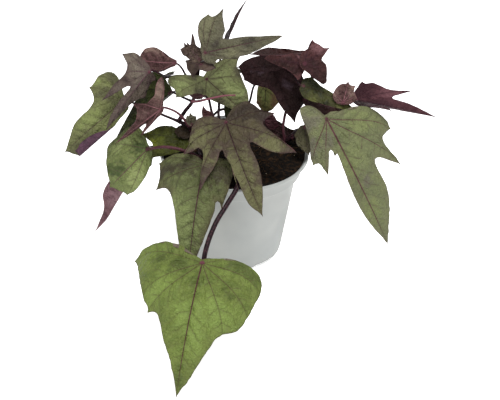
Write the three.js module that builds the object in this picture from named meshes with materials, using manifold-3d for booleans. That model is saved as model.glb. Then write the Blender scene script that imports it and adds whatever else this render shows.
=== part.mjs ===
// A sweet potato vine growing in a round nursery pot, in millimetres, +Z up.
// The origin is the middle of the pot's base. The front of the plant looks along -Y.
import * as THREE from "three";
import { mergeVertices } from "three/addons/utils/BufferGeometryUtils.js";
import Module from "manifold-3d";

// Pot
const RIM_RADIUS = 60;
const RIM_HEIGHT = 92;
const LIP_DEPTH = 4.6; // the lip flares out over the top of the collar
const COLLAR_DEPTH = 14.5; // from the rim down to the lower edge of the collar
const COLLAR_RADIUS = 55.5; // just under the lip
const COLLAR_TAPER = 1;
const SHOULDER_RADIUS = 50.8; // where the tapered wall starts under the collar
const BASE_RADIUS = 40.5;
const BASE_ROUND = 4.5; // radius of the rounded edge between base and wall
const WALL = 1.4;
const FLOOR = 2.4;
const POT_SIDES = 48;
const FOOT_NOTCHES = 6;
const NOTCH_WIDTH = 20;
const NOTCH_HEIGHT = 3.4;
const NOTCH_DEPTH = 7;
const NOTCH_TURN = 42; // degrees from the front towards +X

// Soil
const SOIL_EDGE = 90.7; // height of the soil at the lip
const SOIL_MIDDLE = 92;
const SOIL_LUMP = 0.6; // height of its unevenness
const SOIL_RINGS = 5;
const HOLE_BOTTOM = 70; // how deep the stems stand
const HOLE_SIDES = 10;
const HOLE_ROOM = 0.5; // between a stem and its hole

// Plant
const BLADE = 0.8; // thickness of a leaf
const GAP = 0.3; // between pieces that touch
const NECK = 1.1; // between the middle of a blade and the side of its stalk
const STALK_SIDES = 6;
const STALK_STEP = 9; // longest straight stretch of a stalk
const EDGE_STEP = 10; // longest straight stretch of a leaf's edge

const COLOURS = {
  green: 0x7d9455,
  deep: 0x3d4a26,
  olive: 0x6b6650,
  mauve: 0x6f6460,
  purple: 0x6a434c,
  dark: 0x33262a,
  stem: 0x3a1f2a,
  pot: 0xd4d7d5,
  soil: 0x17140f,
};

const radians = THREE.MathUtils.degToRad;
const tip = (angle, reach) => [angle, reach, true];

// Each leaf has its joint with the stalk, the way its midrib runs (heading round Z, pitch above the
// ground, roll about itself), the midrib's length and the angle that it arches through. left and right
// give the blade's cross-section on each side: the slope at the midrib, then arcs of [width, turn].
// wave is the height and the number of waves along the edge. The outline is a list of
// [angle from the midrib, reach from the joint], in degrees and millimetres, with a point at each tip.
const LEAVES = [
  {
    name: "leaf_front_heart", colour: "green",
    joint: [-22, -110, 60], heading: -101, pitch: -36, roll: 3, length: 102, arch: 28,
    left: [8, [40, -35]], right: [8, [55, -45]], wave: [0.6, 7],
    outline: [
      [180, 2.5], [138, 5], [116, 14], [115, 26], [113, 42], [104, 57], tip(95, 62), [82, 53], [64, 50],
      [50, 51], tip(37, 55), [29, 51], [14, 65], [5, 80], tip(0, 102), [-4, 91], [-8, 81], [-12, 73],
      [-16, 67], [-20, 62], [-24, 60], [-30, 60], [-37, 61], [-46, 57], [-60, 52], [-78, 49],
      [-90, 43], [-99, 30], [-106, 16], [-130, 6],
    ],
  },
  {
    name: "leaf_front_lower", colour: "green",
    joint: [-23, -43, 104], heading: -103, pitch: -58, roll: -4, length: 90, arch: 55,
    left: [3, [40, -20]], right: [0, [30, -35]], wave: [1, 6],
    outline: [
      [180, 3], [127, 11], [113, 24], [106, 35], tip(96, 43), [84, 39], [73, 39], tip(59, 46), [54, 37],
      [44, 35], [27, 40], [17, 49], [11, 59], [6, 71], tip(0, 90), [-3, 77], [-9, 59], [-14, 49], [-22, 38],
      [-29, 32], tip(-30, 40), [-45, 31], [-62, 26], [-75, 24], tip(-91, 26), [-105, 22], [-118, 14],
      [-135, 7],
    ],
  },
  {
    name: "leaf_front_star", colour: "olive",
    joint: [-7, -21, 129], heading: -63, pitch: -37, roll: 33, length: 82, arch: 30,
    left: [6, [40, -30]], right: [15, [40, -6]], wave: [0.8, 6],
    outline: [
      [180, 2.5], [140, 6], [126, 16], [118, 22], [104, 26], [87, 29], [72, 35], tip(68, 42), [63, 35],
      [61, 30], [52, 31], [44, 40], [41, 50], tip(38, 59), [36, 49], [32, 41], [28, 33], [24, 25], [18, 30],
      [11, 38], [9, 47], [9, 57], [5, 69], tip(0, 82), [-4, 71], [-10, 58], [-16, 44], [-21, 32], [-26, 28],
      [-30, 34], [-32, 43], [-36, 52], tip(-43, 63), [-45, 55], [-50, 43], [-55, 35], [-63, 30],
      [-70, 31], tip(-79, 39), [-85, 30], [-94, 27], [-104, 25], [-117, 23], [-129, 18], [-140, 10],
    ],
  },
  {
    name: "leaf_upper_middle", colour: "green",
    joint: [-23, 10, 150], heading: 5, pitch: -44, roll: 82, length: 45, arch: 24,
    left: [4, [40, -25]], right: [4, [40, -30]], wave: [0.7, 6],
    outline: [
      [180, 3], [160, 7], [150, 13], [145, 20], [141, 28], [134, 31], [126, 30], [116, 27], tip(104, 30),
      [98, 24], [90, 18], [70, 15], [38, 17], [19, 23], [8, 33], tip(0, 45), [-10, 41], [-22, 36],
      [-36, 30], [-52, 27], [-65, 26], tip(-76, 32), [-88, 24], [-102, 15], [-120, 8], [-150, 4],
    ],
  },
  {
    name: "leaf_top_flag", colour: "olive",
    joint: [-24, 0, 177], heading: 4, pitch: 13, roll: 64, length: 63, arch: 26,
    left: [4, [30, -25]], right: [2, [40, -35]], wave: [0.6, 6],
    outline: [
      [180, 2.5], [130, 5], [90, 8], tip(60, 12), [40, 11], [30, 15], tip(22, 26), [15, 33], [10, 40],
      [6, 47], [3, 55], tip(0, 63), [-2, 54], [-4, 45], [-8, 36], [-13, 27], [-18, 20], [-26, 18],
      [-34, 23], [-44, 27], [-51, 31], tip(-55, 37), [-60, 31], [-67, 28], tip(-74, 30), [-82, 27],
      [-89, 24], [-93, 17], [-98, 8], [-140, 4],
    ],
  },
  {
    name: "leaf_top_sliver", colour: "purple",
    joint: [-9, 13, 181], heading: -8, pitch: 66, roll: 8, length: 40, arch: 5,
    left: [2, [10, -12]], right: [2, [10, -12]], wave: [0.3, 4],
    outline: [
      [180, 2], [115, 6], tip(80, 10), [54, 10], [36, 13], [21, 20], [9, 29], tip(0, 40), [-9, 29],
      [-21, 20], [-36, 13], [-54, 10], tip(-80, 10), [-115, 6],
    ],
  },
  {
    name: "leaf_left_fold", colour: "mauve",
    joint: [-66, -6, 163], heading: -167, pitch: -53, roll: -46, length: 60, arch: 22,
    left: [-100, [20, -20]], right: [2, [30, -20]], wave: [0.5, 5],
    outline: [
      [180, 1.5], [140, 4], [113, 9], [102, 15], [96, 21], [86, 25], tip(80, 29), [73, 23], [66, 20],
      [50, 20], [38, 24], [31, 32], [25, 39], tip(21, 47), [20, 38], [19, 29], [17, 21], [12, 19],
      [8, 25], [7, 33], [5, 41], [3, 49], tip(0, 60), [-5, 46], [-10, 36], [-20, 28], tip(-36, 27),
      [-48, 16], [-64, 12], tip(-78, 14), [-92, 5], [-130, 1.5],
    ],
  },
  {
    name: "leaf_left_purple", colour: "purple",
    joint: [-47, 6, 165], heading: 165, pitch: -3, roll: 137, length: 31, arch: 30,
    left: [2, [25, -20]], right: [2, [25, -25]], wave: [0.5, 5],
    outline: [
      [180, 1.5], [100, 2.5], [60, 4], [38, 10], [34, 14], tip(26, 19), [19, 23], [9, 28], tip(0, 31),
      [-11, 30], [-20, 29], [-27, 26], [-32, 23], [-34, 18], [-36, 11], [-60, 4], [-110, 2.5],
    ],
  },
  {
    name: "leaf_far_left", colour: "green",
    joint: [-89, 6, 131], heading: -163, pitch: -39, roll: -59, length: 63, arch: 20,
    left: [2, [8, 0], [9, 185]], right: [2, [30, -20]], wave: [0.3, 5],
    outline: [
      [180, 2.5], [145, 5], [127, 10], [121, 17], [115, 23], [106, 26], [97, 27], [87, 28], [75, 27],
      tip(63, 29), [53, 24], [40, 23], [27, 28], [21, 35], [15, 43], [8, 50], tip(0, 63), [-9, 57],
      tip(-20, 57), [-25, 50], [-29, 42], [-30, 34], [-31, 25], [-36, 17], [-60, 10], [-95, 7],
    ],
  },
  {
    name: "leaf_left_dark", colour: "deep",
    joint: [-52, 18, 133], heading: -175, pitch: -42, roll: -64, length: 62, arch: 30,
    left: [-80, [20, -20]], right: [4, [30, -20]], wave: [0.6, 5],
    outline: [
      [180, 2.5], [130, 5], [110, 9], [103, 15], [94, 21], [81, 23], [63, 24], [43, 27], [27, 29],
      [17, 34], [9, 42], [4, 51], tip(0, 62), [-4, 50], [-10, 38], [-20, 28], [-40, 22], [-70, 19],
      [-100, 14], [-130, 7],
    ],
  },
  {
    name: "leaf_left_small", colour: "purple",
    joint: [-58, -6, 131], heading: -164, pitch: -35, roll: 114, length: 46, arch: 16,
    left: [4, [20, -20]], right: [4, [20, -20]], wave: [0.4, 5],
    outline: [
      [150, 2.5], [60, 4], [28, 9], [19, 18], tip(16, 27), [12, 21], [8, 17], [5, 21], [3, 32],
      tip(0, 46), [-5, 30], [-12, 22], [-30, 19], [-39, 19], tip(-47, 22), [-52, 16], [-58, 12],
      [-78, 11], [-104, 12], [-115, 18], [-124, 24], tip(-131, 27), [-134, 21], [-137, 14], [-145, 7],
      [-175, 2.5],
    ],
  },
  {
    name: "leaf_left_low", colour: "green",
    joint: [-69, -4, 94], heading: -167, pitch: -42, roll: -56, length: 47, arch: 30,
    left: [4, [20, -20]], right: [8, [25, -45]], wave: [0.5, 5],
    outline: [
      [180, 2], [140, 3], [116, 6], [112, 12], [107, 19], [97, 24], [84, 27], [70, 28], [55, 32], [45, 36],
      [34, 36], [22, 37], [8, 40], tip(-3, 46), [-12, 43], tip(-23, 43), [-29, 38], [-35, 31],
      [-43, 23], [-50, 17], tip(-60, 14), [-78, 8], [-120, 4],
    ],
  },
  {
    name: "leaf_left_low_tip", colour: "purple",
    joint: [-93, 6, 62], heading: -170, pitch: -66, roll: 138, length: 60, arch: 24,
    left: [6, [14, -30]], right: [6, [14, -30]], wave: [0.3, 4],
    outline: [
      [180, 2], [90, 5], [45, 10], [18, 19], [8, 31], [4, 45], tip(0, 60), [-2, 50], [-4, 41],
      [-9, 35], [-18, 30], [-27, 22], [-45, 11], [-90, 5],
    ],
  },
  {
    name: "leaf_left_inner", colour: "deep",
    joint: [-35, -2, 101], heading: 174, pitch: 4, roll: -31, length: 41, arch: 26,
    left: [4, [18, -15]], right: [4, [18, -15]], wave: [0.5, 5],
    outline: [
      [180, 2], [110, 4], [58, 7], [38, 13], tip(30, 20), [24, 23], [16, 28], [6, 33], tip(0, 41),
      [-7, 35], [-15, 31], [-26, 32], tip(-35, 36), [-41, 28], [-50, 20], [-66, 12], [-100, 6],
    ],
  },
  {
    name: "leaf_left_grey", colour: "mauve",
    joint: [-35, 4, 107], heading: -163, pitch: 4, roll: -27, length: 14, arch: 20,
    left: [4, [8, -20]], right: [4, [8, -20]], wave: [0.2, 4],
    outline: [
      [180, 2], [120, 4], [80, 5], [48, 8], [23, 11], tip(0, 14), [-23, 13], [-49, 10], [-75, 7],
      [-120, 4],
    ],
  },
  {
    name: "leaf_right_large", colour: "green",
    joint: [71, -12, 129], heading: -12, pitch: -62, roll: 61, length: 127, arch: 24,
    left: [4, [45, -30]], right: [6, [30, -40]], wave: [1.2, 7],
    outline: [
      [180, 3], [165, 8], [160, 14], [152, 19], [140, 22], [123, 20], [103, 18], [77, 19], [58, 26],
      [48, 35], tip(42, 40), [36, 37], [30, 41], tip(25, 47), [24, 38], [23, 30], [20, 25], tip(15, 31),
      [11, 29], [9, 36], [8, 48], [7, 72], [4, 97], tip(0, 127), [-2, 116], [-5, 105], [-9, 94],
      [-14, 79], [-18, 61], [-22, 54], [-26, 57], [-28, 66], tip(-30, 78), [-32, 71], [-34, 63],
      [-41, 51], [-46, 52], tip(-51, 58), [-57, 54], [-69, 42], [-75, 35], [-79, 25], [-86, 14],
      [-120, 6],
    ],
  },
  {
    name: "leaf_right_purple", colour: "purple",
    joint: [94, 2, 139], heading: -9, pitch: -8, roll: 44, length: 66, arch: 16,
    left: [4, [16, -20]], right: [-85, [16, -20]], wave: [0.4, 5],
    outline: [
      [180, 2], [125, 5], [90, 11], tip(66, 16), [44, 17], [28, 22], tip(18, 32), [11, 29], [6, 40],
      [2, 54], tip(0, 66), [-3, 54], [-7, 43], [-11, 33], [-15, 29], [-19, 35], tip(-22, 46),
      [-26, 33], [-32, 27], [-43, 23], [-58, 20], [-70, 16], tip(-82, 17), [-96, 9], [-130, 4],
    ],
  },
  {
    name: "leaf_right_young", colour: "purple",
    joint: [84, -4, 139], heading: 60, pitch: 67, roll: -161, length: 18, arch: 30,
    left: [8, [8, -40]], right: [8, [8, -40]], wave: [0.3, 4],
    outline: [
      [180, 1.5], [110, 5], [74, 10], [50, 12], [30, 14], [16, 15], [6, 15], tip(0, 18), [-8, 15],
      tip(-22, 17), [-32, 12], [-46, 12], [-62, 12], [-88, 6],
    ],
  },
  {
    name: "leaf_right_green", colour: "green",
    joint: [53, 8, 147], heading: -11, pitch: -21, roll: 37, length: 47, arch: 34,
    left: [10, [16, -30]], right: [10, [16, -50]], wave: [0.4, 5],
    outline: [
      [180, 2], [105, 5], [69, 10], [47, 14], [28, 20], [16, 29], [8, 38], tip(0, 47), [-2, 38],
      [-5, 28], [-11, 20], [-20, 14], [-38, 11], tip(-66, 10), [-97, 7], [-125, 4],
    ],
  },
  {
    name: "leaf_right_under", colour: "dark",
    joint: [56, 16, 131], heading: -6, pitch: -12, roll: -149, length: 39, arch: 20,
    left: [4, [16, -15]], right: [4, [16, -15]], wave: [0.3, 4],
    outline: [
      [180, 1.5], [90, 6], [45, 12], [23, 20], [10, 30], tip(0, 39), [-8, 31], [-20, 25], tip(-31, 21),
      [-40, 13], [-60, 7], [-110, 4],
    ],
  },
  {
    name: "leaf_right_rim", colour: "deep",
    joint: [55, -6, 118], heading: -76, pitch: -50, roll: 28, length: 23, arch: 20,
    left: [4, [12, -20]], right: [4, [12, -20]], wave: [0.3, 4],
    outline: [
      [180, 1.5], [110, 4], [80, 6], tip(62, 11), [35, 15], [15, 19], tip(0, 23), [-11, 18],
      [-29, 12], [-58, 6], [-110, 3],
    ],
  },
  {
    name: "leaf_right_inner", colour: "mauve",
    joint: [45, 19, 94], heading: -169, pitch: 32, roll: 138, length: 30, arch: 16,
    left: [4, [8, -20]], right: [4, [8, -20]], wave: [0.3, 4],
    outline: [
      [180, 2], [100, 3], [58, 6], [34, 10], [13, 17], [4, 24], tip(0, 30), [-13, 25], [-26, 20],
      [-36, 15], [-50, 10], [-70, 8], [-104, 8], [-118, 12], [-128, 8], [-143, 4],
    ],
  },
  {
    name: "leaf_right_red", colour: "purple",
    joint: [33, 14, 106], heading: -166, pitch: 58, roll: -91, length: 15, arch: 20,
    left: [4, [8, -20]], right: [4, [8, -20]], wave: [0.2, 4],
    outline: [
      [180, 1], [90, 3], [45, 5], [29, 9], [16, 14], tip(0, 16), [-16, 13], [-39, 9], [-80, 4],
    ],
  },
  {
    name: "leaf_right_back", colour: "green",
    joint: [25, 34, 137], heading: 180, pitch: -87, roll: -72, length: 28, arch: 24,
    left: [4, [12, -20]], right: [4, [12, -20]], wave: [0.4, 4],
    outline: [
      [180, 1.5], [110, 4], [55, 8], [30, 14], tip(18, 22), [8, 25], tip(-2, 29), [-15, 26],
      [-28, 22], tip(-43, 21), [-58, 13], [-95, 6],
    ],
  },
  {
    name: "leaf_upper_dark", colour: "dark",
    joint: [29, 26, 153], heading: -31, pitch: -62, roll: 45, length: 50, arch: 26,
    left: [4, [30, -26]], right: [6, [30, -34]], wave: [0.7, 6],
    outline: [
      [180, 7], [150, 9], [130, 11], [121, 16], [118, 22], tip(115, 27), [103, 25], tip(91, 25), [75, 21],
      [53, 17], [33, 17], [20, 21], [13, 29], [7, 37], [3, 42], tip(0, 50), [-4, 44], [-10, 41],
      [-18, 39], [-28, 35], [-38, 31], [-47, 27], tip(-60, 24), [-74, 21], [-89, 16], [-124, 9],
    ],
  },
  {
    name: "leaf_upper_left", colour: "purple",
    joint: [38, 16, 161.5], heading: -171, pitch: -2, roll: -98, length: 38, arch: 16,
    left: [4, [14, -20]], right: [4, [14, -20]], wave: [0.4, 4],
    outline: [
      [180, 1.5], [100, 4], [46, 7], [34, 14], [29, 21], [19, 28], [9, 34], tip(0, 38), [-3, 31], [-6, 24],
      [-18, 16], [-30, 10], [-49, 6], [-110, 3],
    ],
  },
  {
    name: "leaf_upper_edge", colour: "dark",
    joint: [57, 26, 167], heading: -172, pitch: 1, roll: 176, length: 48, arch: 20,
    left: [4, [10, -20]], right: [4, [10, -20]], wave: [0.3, 4],
    outline: [
      [180, 1.5], [110, 3], [46, 6], [18, 13], [10, 24], [10, 34], tip(0, 48), [-10, 40], [-19, 33],
      [-21, 26], [-26, 19], [-34, 10], [-62, 5], [-120, 2],
    ],
  },
  {
    name: "leaf_upper_pink", colour: "purple",
    joint: [51, 15, 163], heading: -165, pitch: 13, roll: 129, length: 32, arch: 24,
    left: [4, [12, -20]], right: [4, [12, -20]], wave: [0.4, 4],
    outline: [
      [180, 1.5], [125, 5], [96, 9], tip(80, 16), [50, 12], [25, 14], [12, 19], [5, 25], tip(0, 32),
      [-8, 27], [-12, 20], [-22, 14], [-40, 11], [-66, 7], [-120, 3],
    ],
  },
  {
    name: "leaf_upper_tall", colour: "purple",
    joint: [53, 10, 165], heading: 17, pitch: 29, roll: -125, length: 24, arch: 26,
    left: [6, [16, -25], [8, 110]], right: [4, [18, -20]], wave: [0.4, 5],
    outline: [
      [180, 4], [98, 6], [67, 9], [51, 11], [41, 14], tip(39, 20), [20, 19], [6, 20], tip(0, 24),
      [-9, 17], [-19, 14], [-33, 17], [-50, 19], [-65, 21], tip(-76, 28), [-82, 20], [-89, 14],
      [-103, 7], [-140, 4.5],
    ],
  },
  {
    name: "leaf_middle_dark", colour: "deep",
    joint: [-2, 14, 112], heading: 126, pitch: 67, roll: -17, length: 19, arch: 20,
    left: [4, [8, -20]], right: [4, [8, -20]], wave: [0.3, 4],
    outline: [
      [180, 1.5], [110, 3], [62, 5], [36, 9], [21, 15], tip(0, 20), [-14, 15], [-29, 11], [-60, 6],
      [-110, 3],
    ],
  },
  {
    name: "leaf_node_dark", colour: "dark",
    joint: [-26, 1, 139], heading: -172, pitch: 8, roll: 148, length: 10, arch: 10,
    left: [4, [8, -20]], right: [4, [8, -20]], wave: [0.2, 3],
    outline: [
      [180, 1], [90, 2], [40, 4], [18, 7], tip(0, 10), [-18, 7], [-40, 4], [-90, 2],
    ],
  },
  {
    name: "leaf_crown_red", colour: "purple",
    joint: [-21, -3, 122], heading: 154, pitch: 66, roll: 111, length: 11, arch: 10,
    left: [4, [8, -20]], right: [4, [8, -20]], wave: [0.2, 3],
    outline: [[180, 1], [100, 3], [53, 5], [20, 8], tip(0, 12), [-10, 7], [-46, 6], [-90, 3]],
  },
  {
    name: "leaf_crown_bud", colour: "olive",
    joint: [-34, -3, 116], heading: 147, pitch: 80, roll: -47, length: 10, arch: 20,
    left: [10, [6, -60]], right: [10, [6, -60]], wave: [0.3, 3],
    outline: [
      [180, 1], [100, 3], [62, 5], tip(36, 8), [16, 8], tip(0, 11), [-8, 8], tip(-18, 9), [-40, 7],
      [-66, 4], [-110, 2],
    ],
  },
  {
    name: "leaf_crown_curl", colour: "mauve",
    joint: [-28, 2, 170], heading: -151, pitch: 36, roll: 117, length: 21, arch: 24,
    left: [6, [10, -40]], right: [6, [10, -40]], wave: [0.3, 5],
    outline: [
      [180, 1.5], [90, 3], [42, 6], tip(15, 11), [9, 16], tip(0, 21), [-8, 19], [-12, 18], tip(-17, 22),
      [-20, 17], tip(-24, 19), [-28, 15], [-32, 15], tip(-40, 25), [-50, 12], [-75, 9], [-110, 7],
      [-145, 4],
    ],
  },
  {
    name: "leaf_crown_hang", colour: "mauve",
    joint: [-30, 9, 165], heading: -142, pitch: -69, roll: 131, length: 13, arch: 20,
    left: [6, [8, -30]], right: [6, [8, -30]], wave: [0.3, 4],
    outline: [
      [180, 1.5], [80, 3], [30, 6], [8, 10], tip(0, 13), [-14, 11], [-37, 10], tip(-81, 10),
      [-110, 4],
    ],
  },
  {
    name: "leaf_crown_small", colour: "mauve",
    joint: [-27, -1, 168], heading: -20, pitch: -4, roll: 14, length: 12, arch: 30,
    left: [6, [6, -30]], right: [6, [6, -30]], wave: [0.2, 3],
    outline: [
      [180, 1], [110, 3], tip(76, 6), [48, 9], [24, 11], tip(0, 13), [-19, 9], [-44, 6], [-75, 4],
      [-120, 2],
    ],
  },
  {
    name: "leaf_back_middle", colour: "green",
    joint: [2, 86, 70], heading: 92, pitch: -66, roll: 4, length: 66, arch: 34,
    left: [6, [40, -35]], right: [6, [40, -35]], wave: [1, 6],
    outline: [
      [180, 2.5], [140, 8], [118, 17], [100, 22], tip(82, 27), [66, 22], [50, 22], [36, 28],
      tip(26, 37), [18, 32], [12, 39], [6, 53], tip(0, 66), [-7, 52], [-13, 39], [-20, 31],
      tip(-28, 38), [-38, 28], [-52, 22], [-68, 21], tip(-84, 26), [-102, 22], [-120, 16], [-142, 7],
    ],
  },
  {
    name: "leaf_back_left", colour: "deep",
    joint: [-34, 72, 56], heading: 128, pitch: -56, roll: -8, length: 46, arch: 30,
    left: [6, [30, -35]], right: [6, [30, -35]], wave: [0.8, 5],
    outline: [
      [180, 2.5], [135, 9], [108, 17], tip(80, 21), [58, 16], [38, 18], tip(28, 25), [18, 23],
      [8, 32], tip(0, 46), [-9, 31], [-20, 22], tip(-32, 26), [-46, 18], [-64, 17], tip(-82, 22),
      [-108, 17], [-136, 9],
    ],
  },
  {
    name: "leaf_back_right", colour: "green",
    joint: [42, 72, 58], heading: 50, pitch: -58, roll: 10, length: 48, arch: 32,
    left: [6, [30, -35]], right: [6, [30, -35]], wave: [0.8, 5],
    outline: [
      [180, 2.5], [138, 9], [112, 18], [92, 21], tip(74, 25), [56, 19], [40, 21], tip(30, 29),
      [20, 25], [9, 35], tip(0, 48), [-8, 35], [-18, 24], tip(-30, 27), [-44, 19], [-62, 18],
      tip(-78, 23), [-100, 20], [-120, 14], [-142, 7],
    ],
  },
  {
    name: "leaf_back_crown", colour: "green",
    joint: [-14, 40, 149], heading: 76, pitch: -52, roll: 6, length: 46, arch: 30,
    left: [6, [30, -35]], right: [6, [30, -35]], wave: [0.8, 5],
    outline: [
      [180, 2.5], [138, 8], [112, 16], [92, 19], tip(76, 23), [58, 18], [38, 19], tip(28, 26),
      [18, 23], [8, 33], tip(0, 46), [-9, 32], [-20, 23], tip(-31, 26), [-46, 18], [-62, 17],
      tip(-80, 22), [-104, 18], [-124, 12], [-145, 6],
    ],
  },
  {
    name: "leaf_back_upper", colour: "deep",
    joint: [30, 44, 146], heading: 66, pitch: -56, roll: -8, length: 44, arch: 30,
    left: [6, [30, -35]], right: [6, [30, -35]], wave: [0.8, 5],
    outline: [
      [180, 2.5], [136, 8], [110, 15], tip(84, 19), [60, 15], [40, 17], tip(30, 23), [18, 22],
      [8, 31], tip(0, 44), [-8, 31], [-19, 21], tip(-31, 24), [-44, 17], [-64, 16], tip(-80, 20),
      [-106, 16], [-138, 8],
    ],
  },
  {
    name: "leaf_right_behind", colour: "green",
    joint: [78, 28, 118], heading: 34, pitch: -64, roll: -10, length: 50, arch: 28,
    left: [6, [30, -35]], right: [6, [30, -35]], wave: [0.8, 5],
    outline: [
      [180, 2.5], [138, 8], [112, 16], tip(90, 20), [66, 16], [44, 18], tip(32, 25), [20, 22],
      [9, 34], tip(0, 50), [-8, 34], [-18, 23], tip(-30, 26), [-44, 18], [-62, 17], tip(-80, 21),
      [-104, 18], [-140, 7],
    ],
  },
  {
    name: "leaf_left_behind", colour: "deep",
    joint: [-62, 40, 135], heading: 142, pitch: -58, roll: 4, length: 42, arch: 28,
    left: [6, [30, -35]], right: [6, [30, -35]], wave: [0.7, 5],
    outline: [
      [180, 2.5], [136, 8], [108, 15], tip(82, 18), [60, 14], [40, 16], tip(29, 22), [18, 20],
      [8, 29], tip(0, 42), [-9, 29], [-19, 20], tip(-30, 22), [-44, 16], [-64, 15], tip(-82, 18),
      [-108, 14], [-138, 7],
    ],
  },
];

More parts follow.
